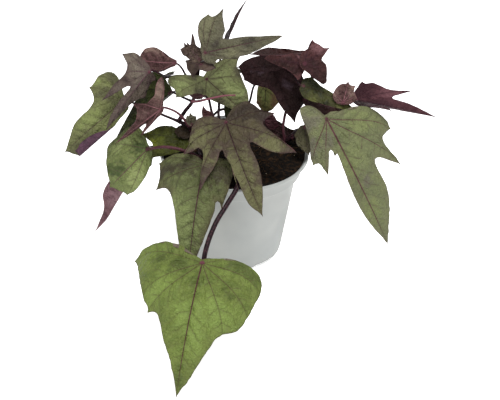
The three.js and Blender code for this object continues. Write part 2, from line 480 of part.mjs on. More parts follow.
// Each vine is a stem that stands in the soil, with the side shoots and leaf stalks that grow from it.
// A route is a list of points, and a stalk's route ends behind the joint of its leaf. thick is the
// radius at its two ends.
const VINES = {
  vine_left: {
    foot: [-18, -2],
    stalks: [
      {
        thick: [1.9, 1.6],
        route: [[-18, -2, 82], [-18.5, -1.5, 94], [-27, 2, 104], [-37, 4, 111], [-45, 6, 114]],
      },
      {
        thick: [1.6, 1.2],
        route: [[-45, 6, 114], [-40, 8, 122], [-34, 10, 130], [-31, 17, 140], [-30, 22, 149], [-29, 17, 160]],
      },
      { thick: [1.1, 0.8], route: [[-45, 6, 114], [-59, 8, 119], [-76, 10, 125]], leaf: "leaf_far_left" },
      { thick: [1.1, 0.8], route: [[-36, 4, 110], [-41, 2, 119], [-47, 0, 126]], leaf: "leaf_left_small" },
      { thick: [1, 0.8], route: [[-34, 10, 130], [-41, 14, 131]], leaf: "leaf_left_dark" },
      {
        thick: [0.9, 0.6],
        route: [[-32, 15, 138], [-40, 27, 139], [-50, 36, 139], [-58, 38, 136]], leaf: "leaf_left_behind",
      },
      {
        thick: [1, 0.8],
        route: [[-32, 15, 138], [-44, 22, 144], [-54, 14, 149], [-60, -1, 160]], leaf: "leaf_left_fold",
      },
      { thick: [1, 0.7], route: [[-30, 22, 149], [-38, 16, 149], [-42, 11, 158]], leaf: "leaf_left_purple" },
      { thick: [0.8, 0.6], route: [[-29, 17, 160], [-28, 10, 167]], leaf: "leaf_crown_curl" },
      { thick: [0.8, 0.6], route: [[-29, 17, 160], [-31, 14, 164]], leaf: "leaf_crown_hang" },
      { thick: [0.8, 0.6], route: [[-29, 17, 160], [-25, 8, 166]], leaf: "leaf_crown_small" },
      { thick: [0.7, 0.5], route: [[-21, -1, 138], [-23, 0, 140]], leaf: "leaf_node_dark" },
      { thick: [0.8, 0.6], route: [[-36, 4, 110], [-36, 1, 113]], leaf: "leaf_crown_bud" },
      { thick: [0.9, 0.6], route: [[-27, 2, 104], [-31, 4, 105]], leaf: "leaf_left_grey" },
      {
        thick: [1.2, 0.5],
        route: [[-34, 10, 130], [-29, 3, 134], [-22, -1, 138], [-8, -2, 142], [0, -1, 142]],
      },
    ],
  },
  vine_middle: {
    foot: [-6, -4],
    stalks: [
      { thick: [2, 1.6], route: [[-6, -4, 84], [-6, -4, 95], [-8, -4, 106]] },
      { thick: [1.4, 1], route: [[-6, -4, 97], [-5, -9, 112]], leaf: "leaf_front_star" },
      {
        thick: [1.2, 0.9],
        route: [[-8, -4, 106], [-17, 2, 120], [-20, 9, 128], [-22, 15, 135]], leaf: "leaf_upper_middle",
      },
      {
        thick: [1.2, 0.8],
        route: [[-8, -4, 106], [-13, 4, 120], [-13, 13, 128], [-16, 20, 148], [-20, 15, 164], [-20, 7, 172]],
        leaf: "leaf_top_flag",
      },
      { thick: [0.9, 0.6], route: [[-16, 20, 148], [-12, 20, 164], [-9, 17, 174]], leaf: "leaf_top_sliver" },
      {
        thick: [1.1, 0.8],
        route: [[-8, -4, 106], [2, 10, 114], [11, 19, 125], [15, 27, 137], [24, 32, 147]],
        leaf: "leaf_upper_dark",
      },
      { thick: [0.9, 0.6], route: [[15, 27, 137], [19, 37, 142], [26, 42, 142]], leaf: "leaf_back_upper" },
      { thick: [0.9, 0.6], route: [[-16, 20, 148], [-17, 31, 149], [-15, 36, 148]], leaf: "leaf_back_crown" },
      { thick: [0.9, 0.6], route: [[-8, -4, 106], [-5, 8, 108]], leaf: "leaf_middle_dark" },
      { thick: [0.8, 0.6], route: [[-8, -4, 106], [-17, -3, 117]], leaf: "leaf_crown_red" },
      {
        thick: [2, 1.9],
        route: [
          [-6, -4, 97], [0, -22, 99], [4, -45, 98], [3, -59, 95], [-5, -72, 86], [-12, -83, 79],
          [-17, -93, 71], [-20, -102, 64],
        ],
        leaf: "leaf_front_heart",
      },
    ],
  },
  vine_front: {
    foot: [-24, -20],
    stalks: [
      { thick: [1.7, 1.4], route: [[-24, -20, 82], [-24, -20, 94], [-26, -18, 98]] },
      { thick: [1.3, 1], route: [[-24, -20, 94], [-22, -32, 98]], leaf: "leaf_front_lower" },
      {
        thick: [1.4, 1.1],
        route: [
          [-24, -20, 94], [-32, -20, 99], [-44, -19, 103], [-55, -18, 104], [-64, -15, 101],
          [-67, -10, 97],
        ],
        leaf: "leaf_left_low",
      },
      { thick: [1, 0.7], route: [[-25, -19, 96], [-28, -10, 95], [-29, -2, 97]], leaf: "leaf_left_inner" },
      {
        thick: [1, 0.7],
        route: [
          [-24, -20, 94], [-34, -12, 95], [-50, -5, 95], [-59, 3, 95], [-65, 7, 90], [-74, 10, 86],
          [-86, 10, 76],
        ],
        leaf: "leaf_left_low_tip",
      },
    ],
  },
  vine_right: {
    foot: [41, 12],
    stalks: [
      {
        thick: [1.9, 1.2],
        route: [
          [41, 12, 84], [41, 12, 94], [49, 14, 101], [57, 18, 105], [62, 23, 110], [63, 29, 118],
          [62, 31, 131], [61, 32, 146], [57, 30, 156], [54, 25, 161],
        ],
      },
      {
        thick: [1.4, 1],
        route: [[41, 12, 94], [50, 8, 101], [59, 3, 107], [67, -4, 114], [70, -8, 122]],
        leaf: "leaf_right_large",
      },
      {
        thick: [1.3, 0.9],
        route: [[41, 12, 94], [39, 13, 106], [40, 17, 114], [43, 28, 124], [41, 36, 134], [33, 37, 140]],
        leaf: "leaf_right_back",
      },
      { thick: [0.9, 0.6], route: [[59, 3, 107], [57, 0, 113]], leaf: "leaf_right_rim" },
      { thick: [1, 0.7], route: [[63, 29, 118], [69, 29, 121], [74, 27, 119]], leaf: "leaf_right_behind" },
      { thick: [0.8, 0.6], route: [[41, 12, 93], [43, 14, 94]], leaf: "leaf_right_inner" },
      { thick: [0.8, 0.6], route: [[39, 13, 106], [36, 16, 106]], leaf: "leaf_right_red" },
      { thick: [0.9, 0.7], route: [[63, 29, 118], [60, 23, 125]], leaf: "leaf_right_under" },
      {
        thick: [0.9, 0.7],
        route: [[54, 25, 161], [49, 20, 157], [47, 13, 150]], leaf: "leaf_right_green",
      },
      {
        thick: [1.1, 0.8],
        route: [[62, 31, 131], [74, 27, 129], [85, 15, 136], [90, 5, 142]], leaf: "leaf_right_purple",
      },
      { thick: [0.8, 0.6], route: [[87, 11, 139], [87, 1, 141]], leaf: "leaf_right_young" },
      { thick: [0.9, 0.7], route: [[54, 25, 161], [52, 20, 162]], leaf: "leaf_upper_pink" },
      { thick: [0.9, 0.7], route: [[54, 25, 161], [48, 22, 161], [43, 20, 161]], leaf: "leaf_upper_left" },
      { thick: [0.9, 0.7], route: [[54, 25, 161], [58, 27, 165]], leaf: "leaf_upper_edge" },
      { thick: [0.9, 0.7], route: [[54, 25, 161], [57, 18, 162]], leaf: "leaf_upper_tall" },
    ],
  },
  vine_back: {
    foot: [10, 34],
    stalks: [
      { thick: [1.9, 1.4], route: [[10, 34, 84], [10, 34, 95], [9, 38, 98]] },
      {
        thick: [1.4, 1],
        route: [[10, 34, 95], [8, 48, 98], [4, 62, 97], [2, 76, 84]], leaf: "leaf_back_middle",
      },
      {
        thick: [1.3, 0.9],
        route: [[10, 34, 95], [2, 50, 99], [-12, 61, 96], [-27, 66, 76]], leaf: "leaf_back_left",
      },
      {
        thick: [1.3, 0.9],
        route: [[10, 34, 95], [16, 50, 99], [26, 60, 96], [37, 66, 74]], leaf: "leaf_back_right",
      },
    ],
  },
};

const wasm = await Module();
wasm.setup();

// A geometry's triangles as a manifold-3d solid.
function solidOf(geometry) {
  const bare = new THREE.BufferGeometry();
  bare.setAttribute("position", geometry.getAttribute("position"));
  bare.setIndex(geometry.getIndex());
  const merged = mergeVertices(bare, 1e-4);
  return new wasm.Manifold(
    new wasm.Mesh({
      numProp: 3,
      vertProperties: new Float32Array(merged.getAttribute("position").array),
      triVerts: new Uint32Array(merged.getIndex().array),
    }),
  );
}

function geometryOf(solid) {
  const mesh = solid.getMesh();
  const geometry = new THREE.BufferGeometry();
  geometry.setAttribute("position", new THREE.BufferAttribute(mesh.vertProperties, 3));
  geometry.setIndex(new THREE.BufferAttribute(mesh.triVerts, 1));
  return geometry;
}

// A profile of [radius, height] points, from the axis and back to it, turned round Z.
function turned(profile, sides) {
  const points = profile.map(([radius, height]) => new THREE.Vector2(radius, height));
  return new THREE.LatheGeometry(points, sides).rotateX(Math.PI / 2);
}

function meshOf(name, colour, geometry, roughness) {
  const shown = geometry.toNonIndexed();
  shown.computeVertexNormals();
  const finish = { color: COLOURS[colour], roughness, metalness: 0 };
  const mesh = new THREE.Mesh(shown, new THREE.MeshStandardMaterial(finish));
  mesh.name = name;
  return mesh;
}

// --- Leaves ---

// The midrib's direction, the direction across the blade and the direction out of its upper face.
function axesOf(leaf) {
  const heading = radians(leaf.heading);
  const pitch = radians(leaf.pitch);
  const roll = radians(leaf.roll);
  const along = new THREE.Vector3(
    Math.cos(pitch) * Math.cos(heading),
    Math.cos(pitch) * Math.sin(heading),
    Math.sin(pitch),
  );
  const level = new THREE.Vector3(Math.sin(heading), -Math.cos(heading), 0);
  const up = new THREE.Vector3().crossVectors(level, along);
  const across = level.clone().multiplyScalar(Math.cos(roll)).addScaledVector(up, -Math.sin(roll));
  const out = up.clone().multiplyScalar(Math.cos(roll)).addScaledVector(level, Math.sin(roll));
  return { along, across, out };
}

// How far a point of the flat blade lies sideways and outwards, once its side is bent by its arcs.
function bent(width, [firstSlope, ...arcs]) {
  let slope = radians(firstSlope);
  let rest = width;
  let sideways = 0;
  let outwards = 0;
  for (const [length, turn] of arcs) {
    const stretch = Math.min(rest, length);
    const next = slope + (radians(turn) * stretch) / length;
    const middle = (slope + next) / 2;
    const half = (next - slope) / 2;
    const chord = half === 0 ? stretch : (stretch * Math.sin(half)) / half;
    sideways += chord * Math.cos(middle);
    outwards += chord * Math.sin(middle);
    slope = next;
    rest -= stretch;
  }
  return [sideways + rest * Math.cos(slope), outwards + rest * Math.sin(slope)];
}

// A point of the blade's middle surface: x across and y along the flat leaf, lift out of it.
function bladePoint(leaf, axes, x, y, lift) {
  const arch = radians(leaf.arch);
  const radius = leaf.length / arch;
  const angle = arch * (y / leaf.length - 0.5);
  const out = new THREE.Vector3()
    .addScaledVector(axes.out, Math.cos(angle))
    .addScaledVector(axes.along, Math.sin(angle));
  const [sideways, outwards] = bent(Math.abs(x), x < 0 ? leaf.left : leaf.right);
  return new THREE.Vector3(...leaf.joint)
    .addScaledVector(axes.along, radius * (Math.sin(angle) + Math.sin(arch / 2)))
    .addScaledVector(axes.out, radius * (Math.cos(angle) - Math.cos(arch / 2)))
    .addScaledVector(axes.across, Math.sign(x) * sideways)
    .addScaledVector(out, outwards + lift);
}

// The flat outline as points, smooth at plain points and drawn out along the lobe at tips.
function flatOutline(leaf) {
  const keys = [...leaf.outline].sort((a, b) => a[0] - b[0]);
  const flat = keys.map(([angle, reach]) => [
    reach * Math.sin(radians(angle)),
    reach * Math.cos(radians(angle)),
  ]);
  const count = keys.length;
  const unit = ([x, y]) => [x / Math.hypot(x, y), y / Math.hypot(x, y)];
  const between = (i, j) => unit([flat[j][0] - flat[i][0], flat[j][1] - flat[i][1]]);
  const direction = (i, leaving) => {
    const before = (i + count - 1) % count;
    const after = (i + 1) % count;
    if (!keys[i][2]) return between(before, after);
    const chord = leaving ? between(i, after) : between(before, i);
    const lobe = unit(flat[i]);
    const sign = leaving ? -1 : 1;
    return unit([chord[0] + sign * lobe[0], chord[1] + sign * lobe[1]]);
  };
  const points = [];
  keys.forEach((key, i) => {
    const j = (i + 1) % count;
    const span = Math.hypot(flat[j][0] - flat[i][0], flat[j][1] - flat[i][1]);
    const from = direction(i, true);
    const to = direction(j, false);
    const steps = Math.max(1, Math.round(span / EDGE_STEP));
    for (let k = 0; k < steps; k++) {
      const t = k / steps;
      const a = 2 * t ** 3 - 3 * t ** 2 + 1;
      const b = (t ** 3 - 2 * t ** 2 + t) * span;
      const c = 3 * t ** 2 - 2 * t ** 3;
      const d = (t ** 3 - t ** 2) * span;
      points.push([0, 1].map((n) => a * flat[i][n] + b * from[n] + c * flat[j][n] + d * to[n]));
    }
  });
  return points;
}

// A closed blade: the same fan of rings on both faces, joined round the edge.
function bladeGeometry(leaf) {
  const axes = axesOf(leaf);
  const edge = flatOutline(leaf);
  const rings = leaf.length > 40 ? [0.36, 0.7, 1] : [0.55, 1];
  const [height, waves] = leaf.wave;
  const place = (x, y, share, turn) =>
    bladePoint(leaf, axes, x, y, height * share ** 2 * Math.sin(waves * turn));
  const spots = [[0, 0, 0, 0]];
  for (const share of rings)
    for (const [x, y] of edge) spots.push([x * share, y * share, share, Math.atan2(x, y)]);
  const middle = spots.map((spot) => place(...spot));
  const outward = spots.map(([x, y, share, turn]) => {
    const dx = place(x + 0.2, y, share, turn).sub(place(x - 0.2, y, share, turn));
    const dy = place(x, y + 0.2, share, turn).sub(place(x, y - 0.2, share, turn));
    return dx.cross(dy).normalize();
  });
  const upper = middle.map((point, i) => point.clone().addScaledVector(outward[i], BLADE / 2));
  const lower = middle.map((point, i) => point.clone().addScaledVector(outward[i], -BLADE / 2));
  const count = edge.length;
  const total = spots.length;
  const faces = [];
  const at = (ring, i) => 1 + ring * count + (i % count);
  for (let i = 0; i < count; i++) {
    faces.push([0, at(0, i + 1), at(0, i)]);
    for (let ring = 0; ring + 1 < rings.length; ring++) {
      faces.push([at(ring, i), at(ring, i + 1), at(ring + 1, i + 1)]);
      faces.push([at(ring, i), at(ring + 1, i + 1), at(ring + 1, i)]);
    }
  }
  const index = [];
  for (const [a, b, c] of faces) index.push(a, b, c, total + a, total + c, total + b);
  const last = rings.length - 1;
  for (let i = 0; i < count; i++) {
    const a = at(last, i);
    const b = at(last, i + 1);
    index.push(a, b, total + b, a, total + b, total + a);
  }
  const geometry = new THREE.BufferGeometry().setFromPoints([...upper, ...lower]);
  geometry.setIndex(index);
  return geometry;
}

// --- Stems ---

// A closed tapering tube with flat ends along a smooth curve through the route's points.
function stalkGeometry(route, [first, last]) {
  const curve = new THREE.CatmullRomCurve3(route.map((point) => new THREE.Vector3(...point)));
  const steps = Math.max(2, Math.ceil(curve.getLength() / STALK_STEP));
  const { normals, binormals } = curve.computeFrenetFrames(steps, false);
  const points = [];
  for (let i = 0; i <= steps; i++) {
    const radius = first + ((last - first) * i) / steps;
    const centre = curve.getPointAt(i / steps);
    for (let side = 0; side < STALK_SIDES; side++) {
      const turn = (side / STALK_SIDES) * 2 * Math.PI;
      points.push(
        centre
          .clone()
          .addScaledVector(normals[i], radius * Math.cos(turn))
          .addScaledVector(binormals[i], radius * Math.sin(turn)),
      );
    }
  }
  const index = [];
  for (let i = 0; i < steps; i++)
    for (let side = 0; side < STALK_SIDES; side++) {
      const a = i * STALK_SIDES + side;
      const b = i * STALK_SIDES + ((side + 1) % STALK_SIDES);
      index.push(a, b, b + STALK_SIDES, a, b + STALK_SIDES, a + STALK_SIDES);
    }
  const end = steps * STALK_SIDES;
  for (let side = 1; side + 1 < STALK_SIDES; side++) {
    index.push(0, side + 1, side);
    index.push(end, end + side, end + side + 1);
  }
  const geometry = new THREE.BufferGeometry().setFromPoints(points);
  geometry.setIndex(index);
  return geometry;
}

// Where a stalk ends: just off the joint of its leaf, on the face that the stalk comes from.
function stalkEnd(name, before, radius) {
  const leaf = LEAVES.find((each) => each.name === name);
  const { along, out } = axesOf(leaf);
  const joint = new THREE.Vector3(...leaf.joint);
  const side = Math.sign(new THREE.Vector3(...before).sub(joint).dot(out));
  return joint.addScaledVector(along, -1.6).addScaledVector(out, side * (radius + NECK)).toArray();
}

function vineGeometry(vine) {
  let whole = null;
  for (const { thick, route, leaf } of vine.stalks) {
    const start = whole ? [] : [[...vine.foot, HOLE_BOTTOM + GAP]];
    const end = leaf ? [stalkEnd(leaf, route.at(-1), thick[1])] : [];
    const solid = solidOf(stalkGeometry([...start, ...route, ...end], thick));
    whole = whole ? whole.add(solid) : solid;
  }
  return geometryOf(whole);
}

// --- Pot and soil ---

function potGeometry() {
  const shoulder = RIM_HEIGHT - COLLAR_DEPTH;
  const corner = (angle) => [
    BASE_RADIUS - BASE_ROUND + BASE_ROUND * Math.sin(radians(angle)),
    BASE_ROUND - BASE_ROUND * Math.cos(radians(angle)),
  ];
  const profile = [
    [0, 0],
    corner(0),
    corner(35),
    corner(65),
    [BASE_RADIUS + 0.2, BASE_ROUND + 0.6],
    [SHOULDER_RADIUS, shoulder - 1],
    [COLLAR_RADIUS - COLLAR_TAPER, shoulder],
    [COLLAR_RADIUS, RIM_HEIGHT - LIP_DEPTH],
    [RIM_RADIUS - 0.7, RIM_HEIGHT - 2.8],
    [RIM_RADIUS, RIM_HEIGHT - 1.8],
    [RIM_RADIUS - 0.4, RIM_HEIGHT],
    [RIM_RADIUS - 1.8, RIM_HEIGHT],
    [RIM_RADIUS - 2.2, RIM_HEIGHT - 1.1],
    [COLLAR_RADIUS - WALL, RIM_HEIGHT - LIP_DEPTH + 0.9],
    [COLLAR_RADIUS - COLLAR_TAPER - WALL, shoulder + 1.6],
    [SHOULDER_RADIUS - WALL, shoulder + 0.4],
    [BASE_RADIUS - WALL, BASE_ROUND + 1.4],
    [BASE_RADIUS - WALL - 2, FLOOR],
    [0, FLOOR],
  ];
  let pot = solidOf(turned(profile, POT_SIDES));
  for (let i = 0; i < FOOT_NOTCHES; i++) {
    const notch = new THREE.BoxGeometry(NOTCH_DEPTH, NOTCH_WIDTH, NOTCH_HEIGHT);
    notch.translate(BASE_RADIUS - NOTCH_DEPTH / 2 + 1.2, 0, NOTCH_HEIGHT / 2 - 0.01);
    notch.rotateZ(radians(NOTCH_TURN - 90 + (i * 360) / FOOT_NOTCHES));
    pot = pot.subtract(solidOf(notch));
  }
  return geometryOf(pot);
}

function soilGeometry() {
  const inside = BASE_RADIUS - WALL - GAP;
  const shoulder = RIM_HEIGHT - COLLAR_DEPTH;
  const brim = RIM_RADIUS - 3.2;
  const profile = [
    [0, FLOOR + GAP],
    [inside - 2, FLOOR + GAP],
    [inside, BASE_ROUND + 1.6],
    [SHOULDER_RADIUS - WALL - GAP, shoulder + 0.6],
    [COLLAR_RADIUS - COLLAR_TAPER - WALL - GAP, shoulder + 2],
    [COLLAR_RADIUS - WALL - GAP, RIM_HEIGHT - LIP_DEPTH + 1.1],
  ];
  for (let ring = SOIL_RINGS; ring >= 0; ring--) {
    const share = ring / SOIL_RINGS;
    profile.push([brim * share, SOIL_EDGE + (SOIL_MIDDLE - SOIL_EDGE) * (1 - share ** 2)]);
  }
  const block = turned(profile, POT_SIDES);
  const spots = block.getAttribute("position");
  for (let i = 0; i < spots.count; i++) {
    const [x, y, z] = [spots.getX(i), spots.getY(i), spots.getZ(i)];
    if (z < SOIL_EDGE - 1 || Math.hypot(x, y) > brim - 1) continue;
    spots.setZ(i, z + SOIL_LUMP * (Math.sin(x / 5) * Math.cos(y / 6) + 0.5 * Math.sin((x + y) / 3)));
  }
  let soil = solidOf(block);
  for (const { foot, stalks } of Object.values(VINES)) {
    const radius = (stalks[0].thick[0] + HOLE_ROOM) / Math.cos(Math.PI / HOLE_SIDES);
    const depth = RIM_HEIGHT + 5 - HOLE_BOTTOM;
    const hole = new THREE.CylinderGeometry(radius, radius, depth, HOLE_SIDES).rotateX(Math.PI / 2);
    hole.translate(foot[0], foot[1], HOLE_BOTTOM + depth / 2);
    soil = soil.subtract(solidOf(hole));
  }
  return geometryOf(soil);
}

const plant = new THREE.Group();
plant.add(meshOf("pot", "pot", potGeometry(), 0.55));
plant.add(meshOf("soil", "soil", soilGeometry(), 0.95));
for (const [name, vine] of Object.entries(VINES)) {
  plant.add(meshOf(name, "stem", vineGeometry(vine), 0.5));
}
for (const leaf of LEAVES) {
  plant.add(meshOf(leaf.name, leaf.colour, bladeGeometry(leaf), 0.6));
}

export default plant;
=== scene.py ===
"""A sweet potato vine in a round nursery pot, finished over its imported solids."""
import math
import random

import bmesh
import bpy
from mathutils import Matrix, Vector, kdtree, noise


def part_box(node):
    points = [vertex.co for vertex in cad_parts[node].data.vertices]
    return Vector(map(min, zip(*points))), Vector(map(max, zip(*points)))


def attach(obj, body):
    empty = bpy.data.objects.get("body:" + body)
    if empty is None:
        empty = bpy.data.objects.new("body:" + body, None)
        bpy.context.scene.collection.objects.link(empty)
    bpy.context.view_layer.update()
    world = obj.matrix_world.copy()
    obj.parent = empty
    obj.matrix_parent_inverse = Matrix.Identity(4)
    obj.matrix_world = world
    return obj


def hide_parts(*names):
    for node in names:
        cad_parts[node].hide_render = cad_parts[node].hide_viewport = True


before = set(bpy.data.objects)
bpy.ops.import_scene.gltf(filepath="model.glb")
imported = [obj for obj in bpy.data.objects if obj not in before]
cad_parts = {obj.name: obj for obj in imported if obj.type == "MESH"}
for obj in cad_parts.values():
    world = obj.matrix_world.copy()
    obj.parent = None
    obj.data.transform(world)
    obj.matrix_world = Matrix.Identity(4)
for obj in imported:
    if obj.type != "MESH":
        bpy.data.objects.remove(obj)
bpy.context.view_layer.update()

bl_info = {
    "name": "Sweet potato vine",
    "version": (1, 0, 0),
    "blender": (4, 5, 0),
    "location": "View3D > Sidebar > Vine",
    "description": "Builds the leaves, stems, soil and pot of a sweet potato vine",
    "category": "Object",
}

MM = 0.001

# Blades
SPOKE_STEP = 2.3  # mm between the points of a leaf's edge
RING_STEP = 2.6  # mm between the rings of a blade
VEIN_REACH = 140  # no main vein runs further back than this angle
USUAL_VEINS = (-92, -45, 45, 92)  # on a side whose edge has no tip there
VEIN_APART = 15  # the least angle between a usual vein and another
GROOVE_WIDTH = 1.1
PILLOW_WIDTH = 3.5  # beside a main vein, where the swelling of a blade begins
UNEVEN_HEIGHT = 0.9  # of the soft bumps of a whole blade
UNEVEN_LENGTH = 17
SPOKE_BOW = 0.6  # how far the side veins set out wide and turn to the tip
EDGE_RIPPLE = 0.014  # how far the fine ripples of an edge reach in, as a share of its reach

# Stalks
STALK_SIDES = 10
STALK_STEP = 1.6
SWELL_LENGTH = 3.2  # of the thick places where a stalk starts and where it meets its leaf
START_SWELL = 0.28
LEAF_SWELL = 0.22
NECK = 1.1  # between the middle of a blade and the side of its stalk
NECK_START = 1.6  # how far before the joint a stalk turns to its blade
NECK_END = 1.4  # how far past the joint it ends in the midrib
HOLE_BOTTOM = 70
HOLE_GAP = 0.3  # between a stem and the bottom of its hole
BLUSH_LENGTH = 3.5  # of a stalk's pinker end

# Pot and soil, as turned profiles in millimetres
RIM_RADIUS = 60
RIM_HEIGHT = 92
LIP_DEPTH = 4.6
COLLAR_DEPTH = 14.5
COLLAR_RADIUS = 55.5
SHOULDER_RADIUS = 50.8
BASE_RADIUS = 40.5
BASE_ROUND = 4.5
WALL = 1.4
FLOOR = 2.4
FOOT_NOTCHES = 6
NOTCH_WIDTH = 20
NOTCH_HEIGHT = 3.4
NOTCH_DEPTH = 7
NOTCH_TURN = 42
POT_STEPS = 180
DUST = "6b6558"  # a screen colour
SOIL_GAP = 0.3  # between the soil and the pot
SOIL_EDGE = 90.7
SOIL_MIDDLE = 92
SOIL_LUMP = 0.6
SOIL_RINGS = 52
SOIL_STEPS = 160
SOIL_BRIM = RIM_RADIUS - 3.2  # where the soil meets the inside of the lip
SOIL_SEED = 11
CRUMBS = 520
CRUMB_DENT = 0.16  # how far its corners are moved, as a share of its radius
GRAINS = 26  # of pale grit
GRAIN_SIZE = 1.5
FIBRES = 80
FIBRE_SIDES = 5

# Stage, in metres
FLOOR_RADIUS = 6
SENSOR_WIDTH = 36  # mm
SKY_POWER = 0.72
FLOOR_GLOW = 0.6
WHITE = (1, 1, 1, 1)
LAMP_TARGET = (0, 0, 0.1)
# The name of each lamp, its share of the key light's power, its place and its width.
LAMPS = (("key", 1, (0.15, -0.3, 1.2), 0.5), ("fill", 0.3, (-0.9, -0.7, 0.9), 0.9))
CAMERA_PLACE = (0, -0.7346, 0.5196)
CAMERA_TARGET = (0.013754, 0, 0.044435)
CAMERA_ROLL = 1.7
CAMERA_LENS = 75.9


def tip(angle, reach):
    """A point of a leaf's outline where a lobe is drawn out."""
    return (angle, reach, True)


def blade(name, slot, upper, under, stains_and_shades=(), veins=USUAL_VEINS, **shape):
    """The facts of one leaf: its node and slot, the finish of each face, its marks and its shape."""
    return {"name": name, "slot": slot, "faces": (upper, under), "stains_and_shades": stains_and_shades, "veins": veins, **shape}


def stalk(thick, route, leaf=None, young=0, blush=0.4):
    """The facts of one stretch of a vine, which may end at a leaf."""
    return {"thick": thick, "route": route, "leaf": leaf, "young": young, "blush": blush if leaf else 0}
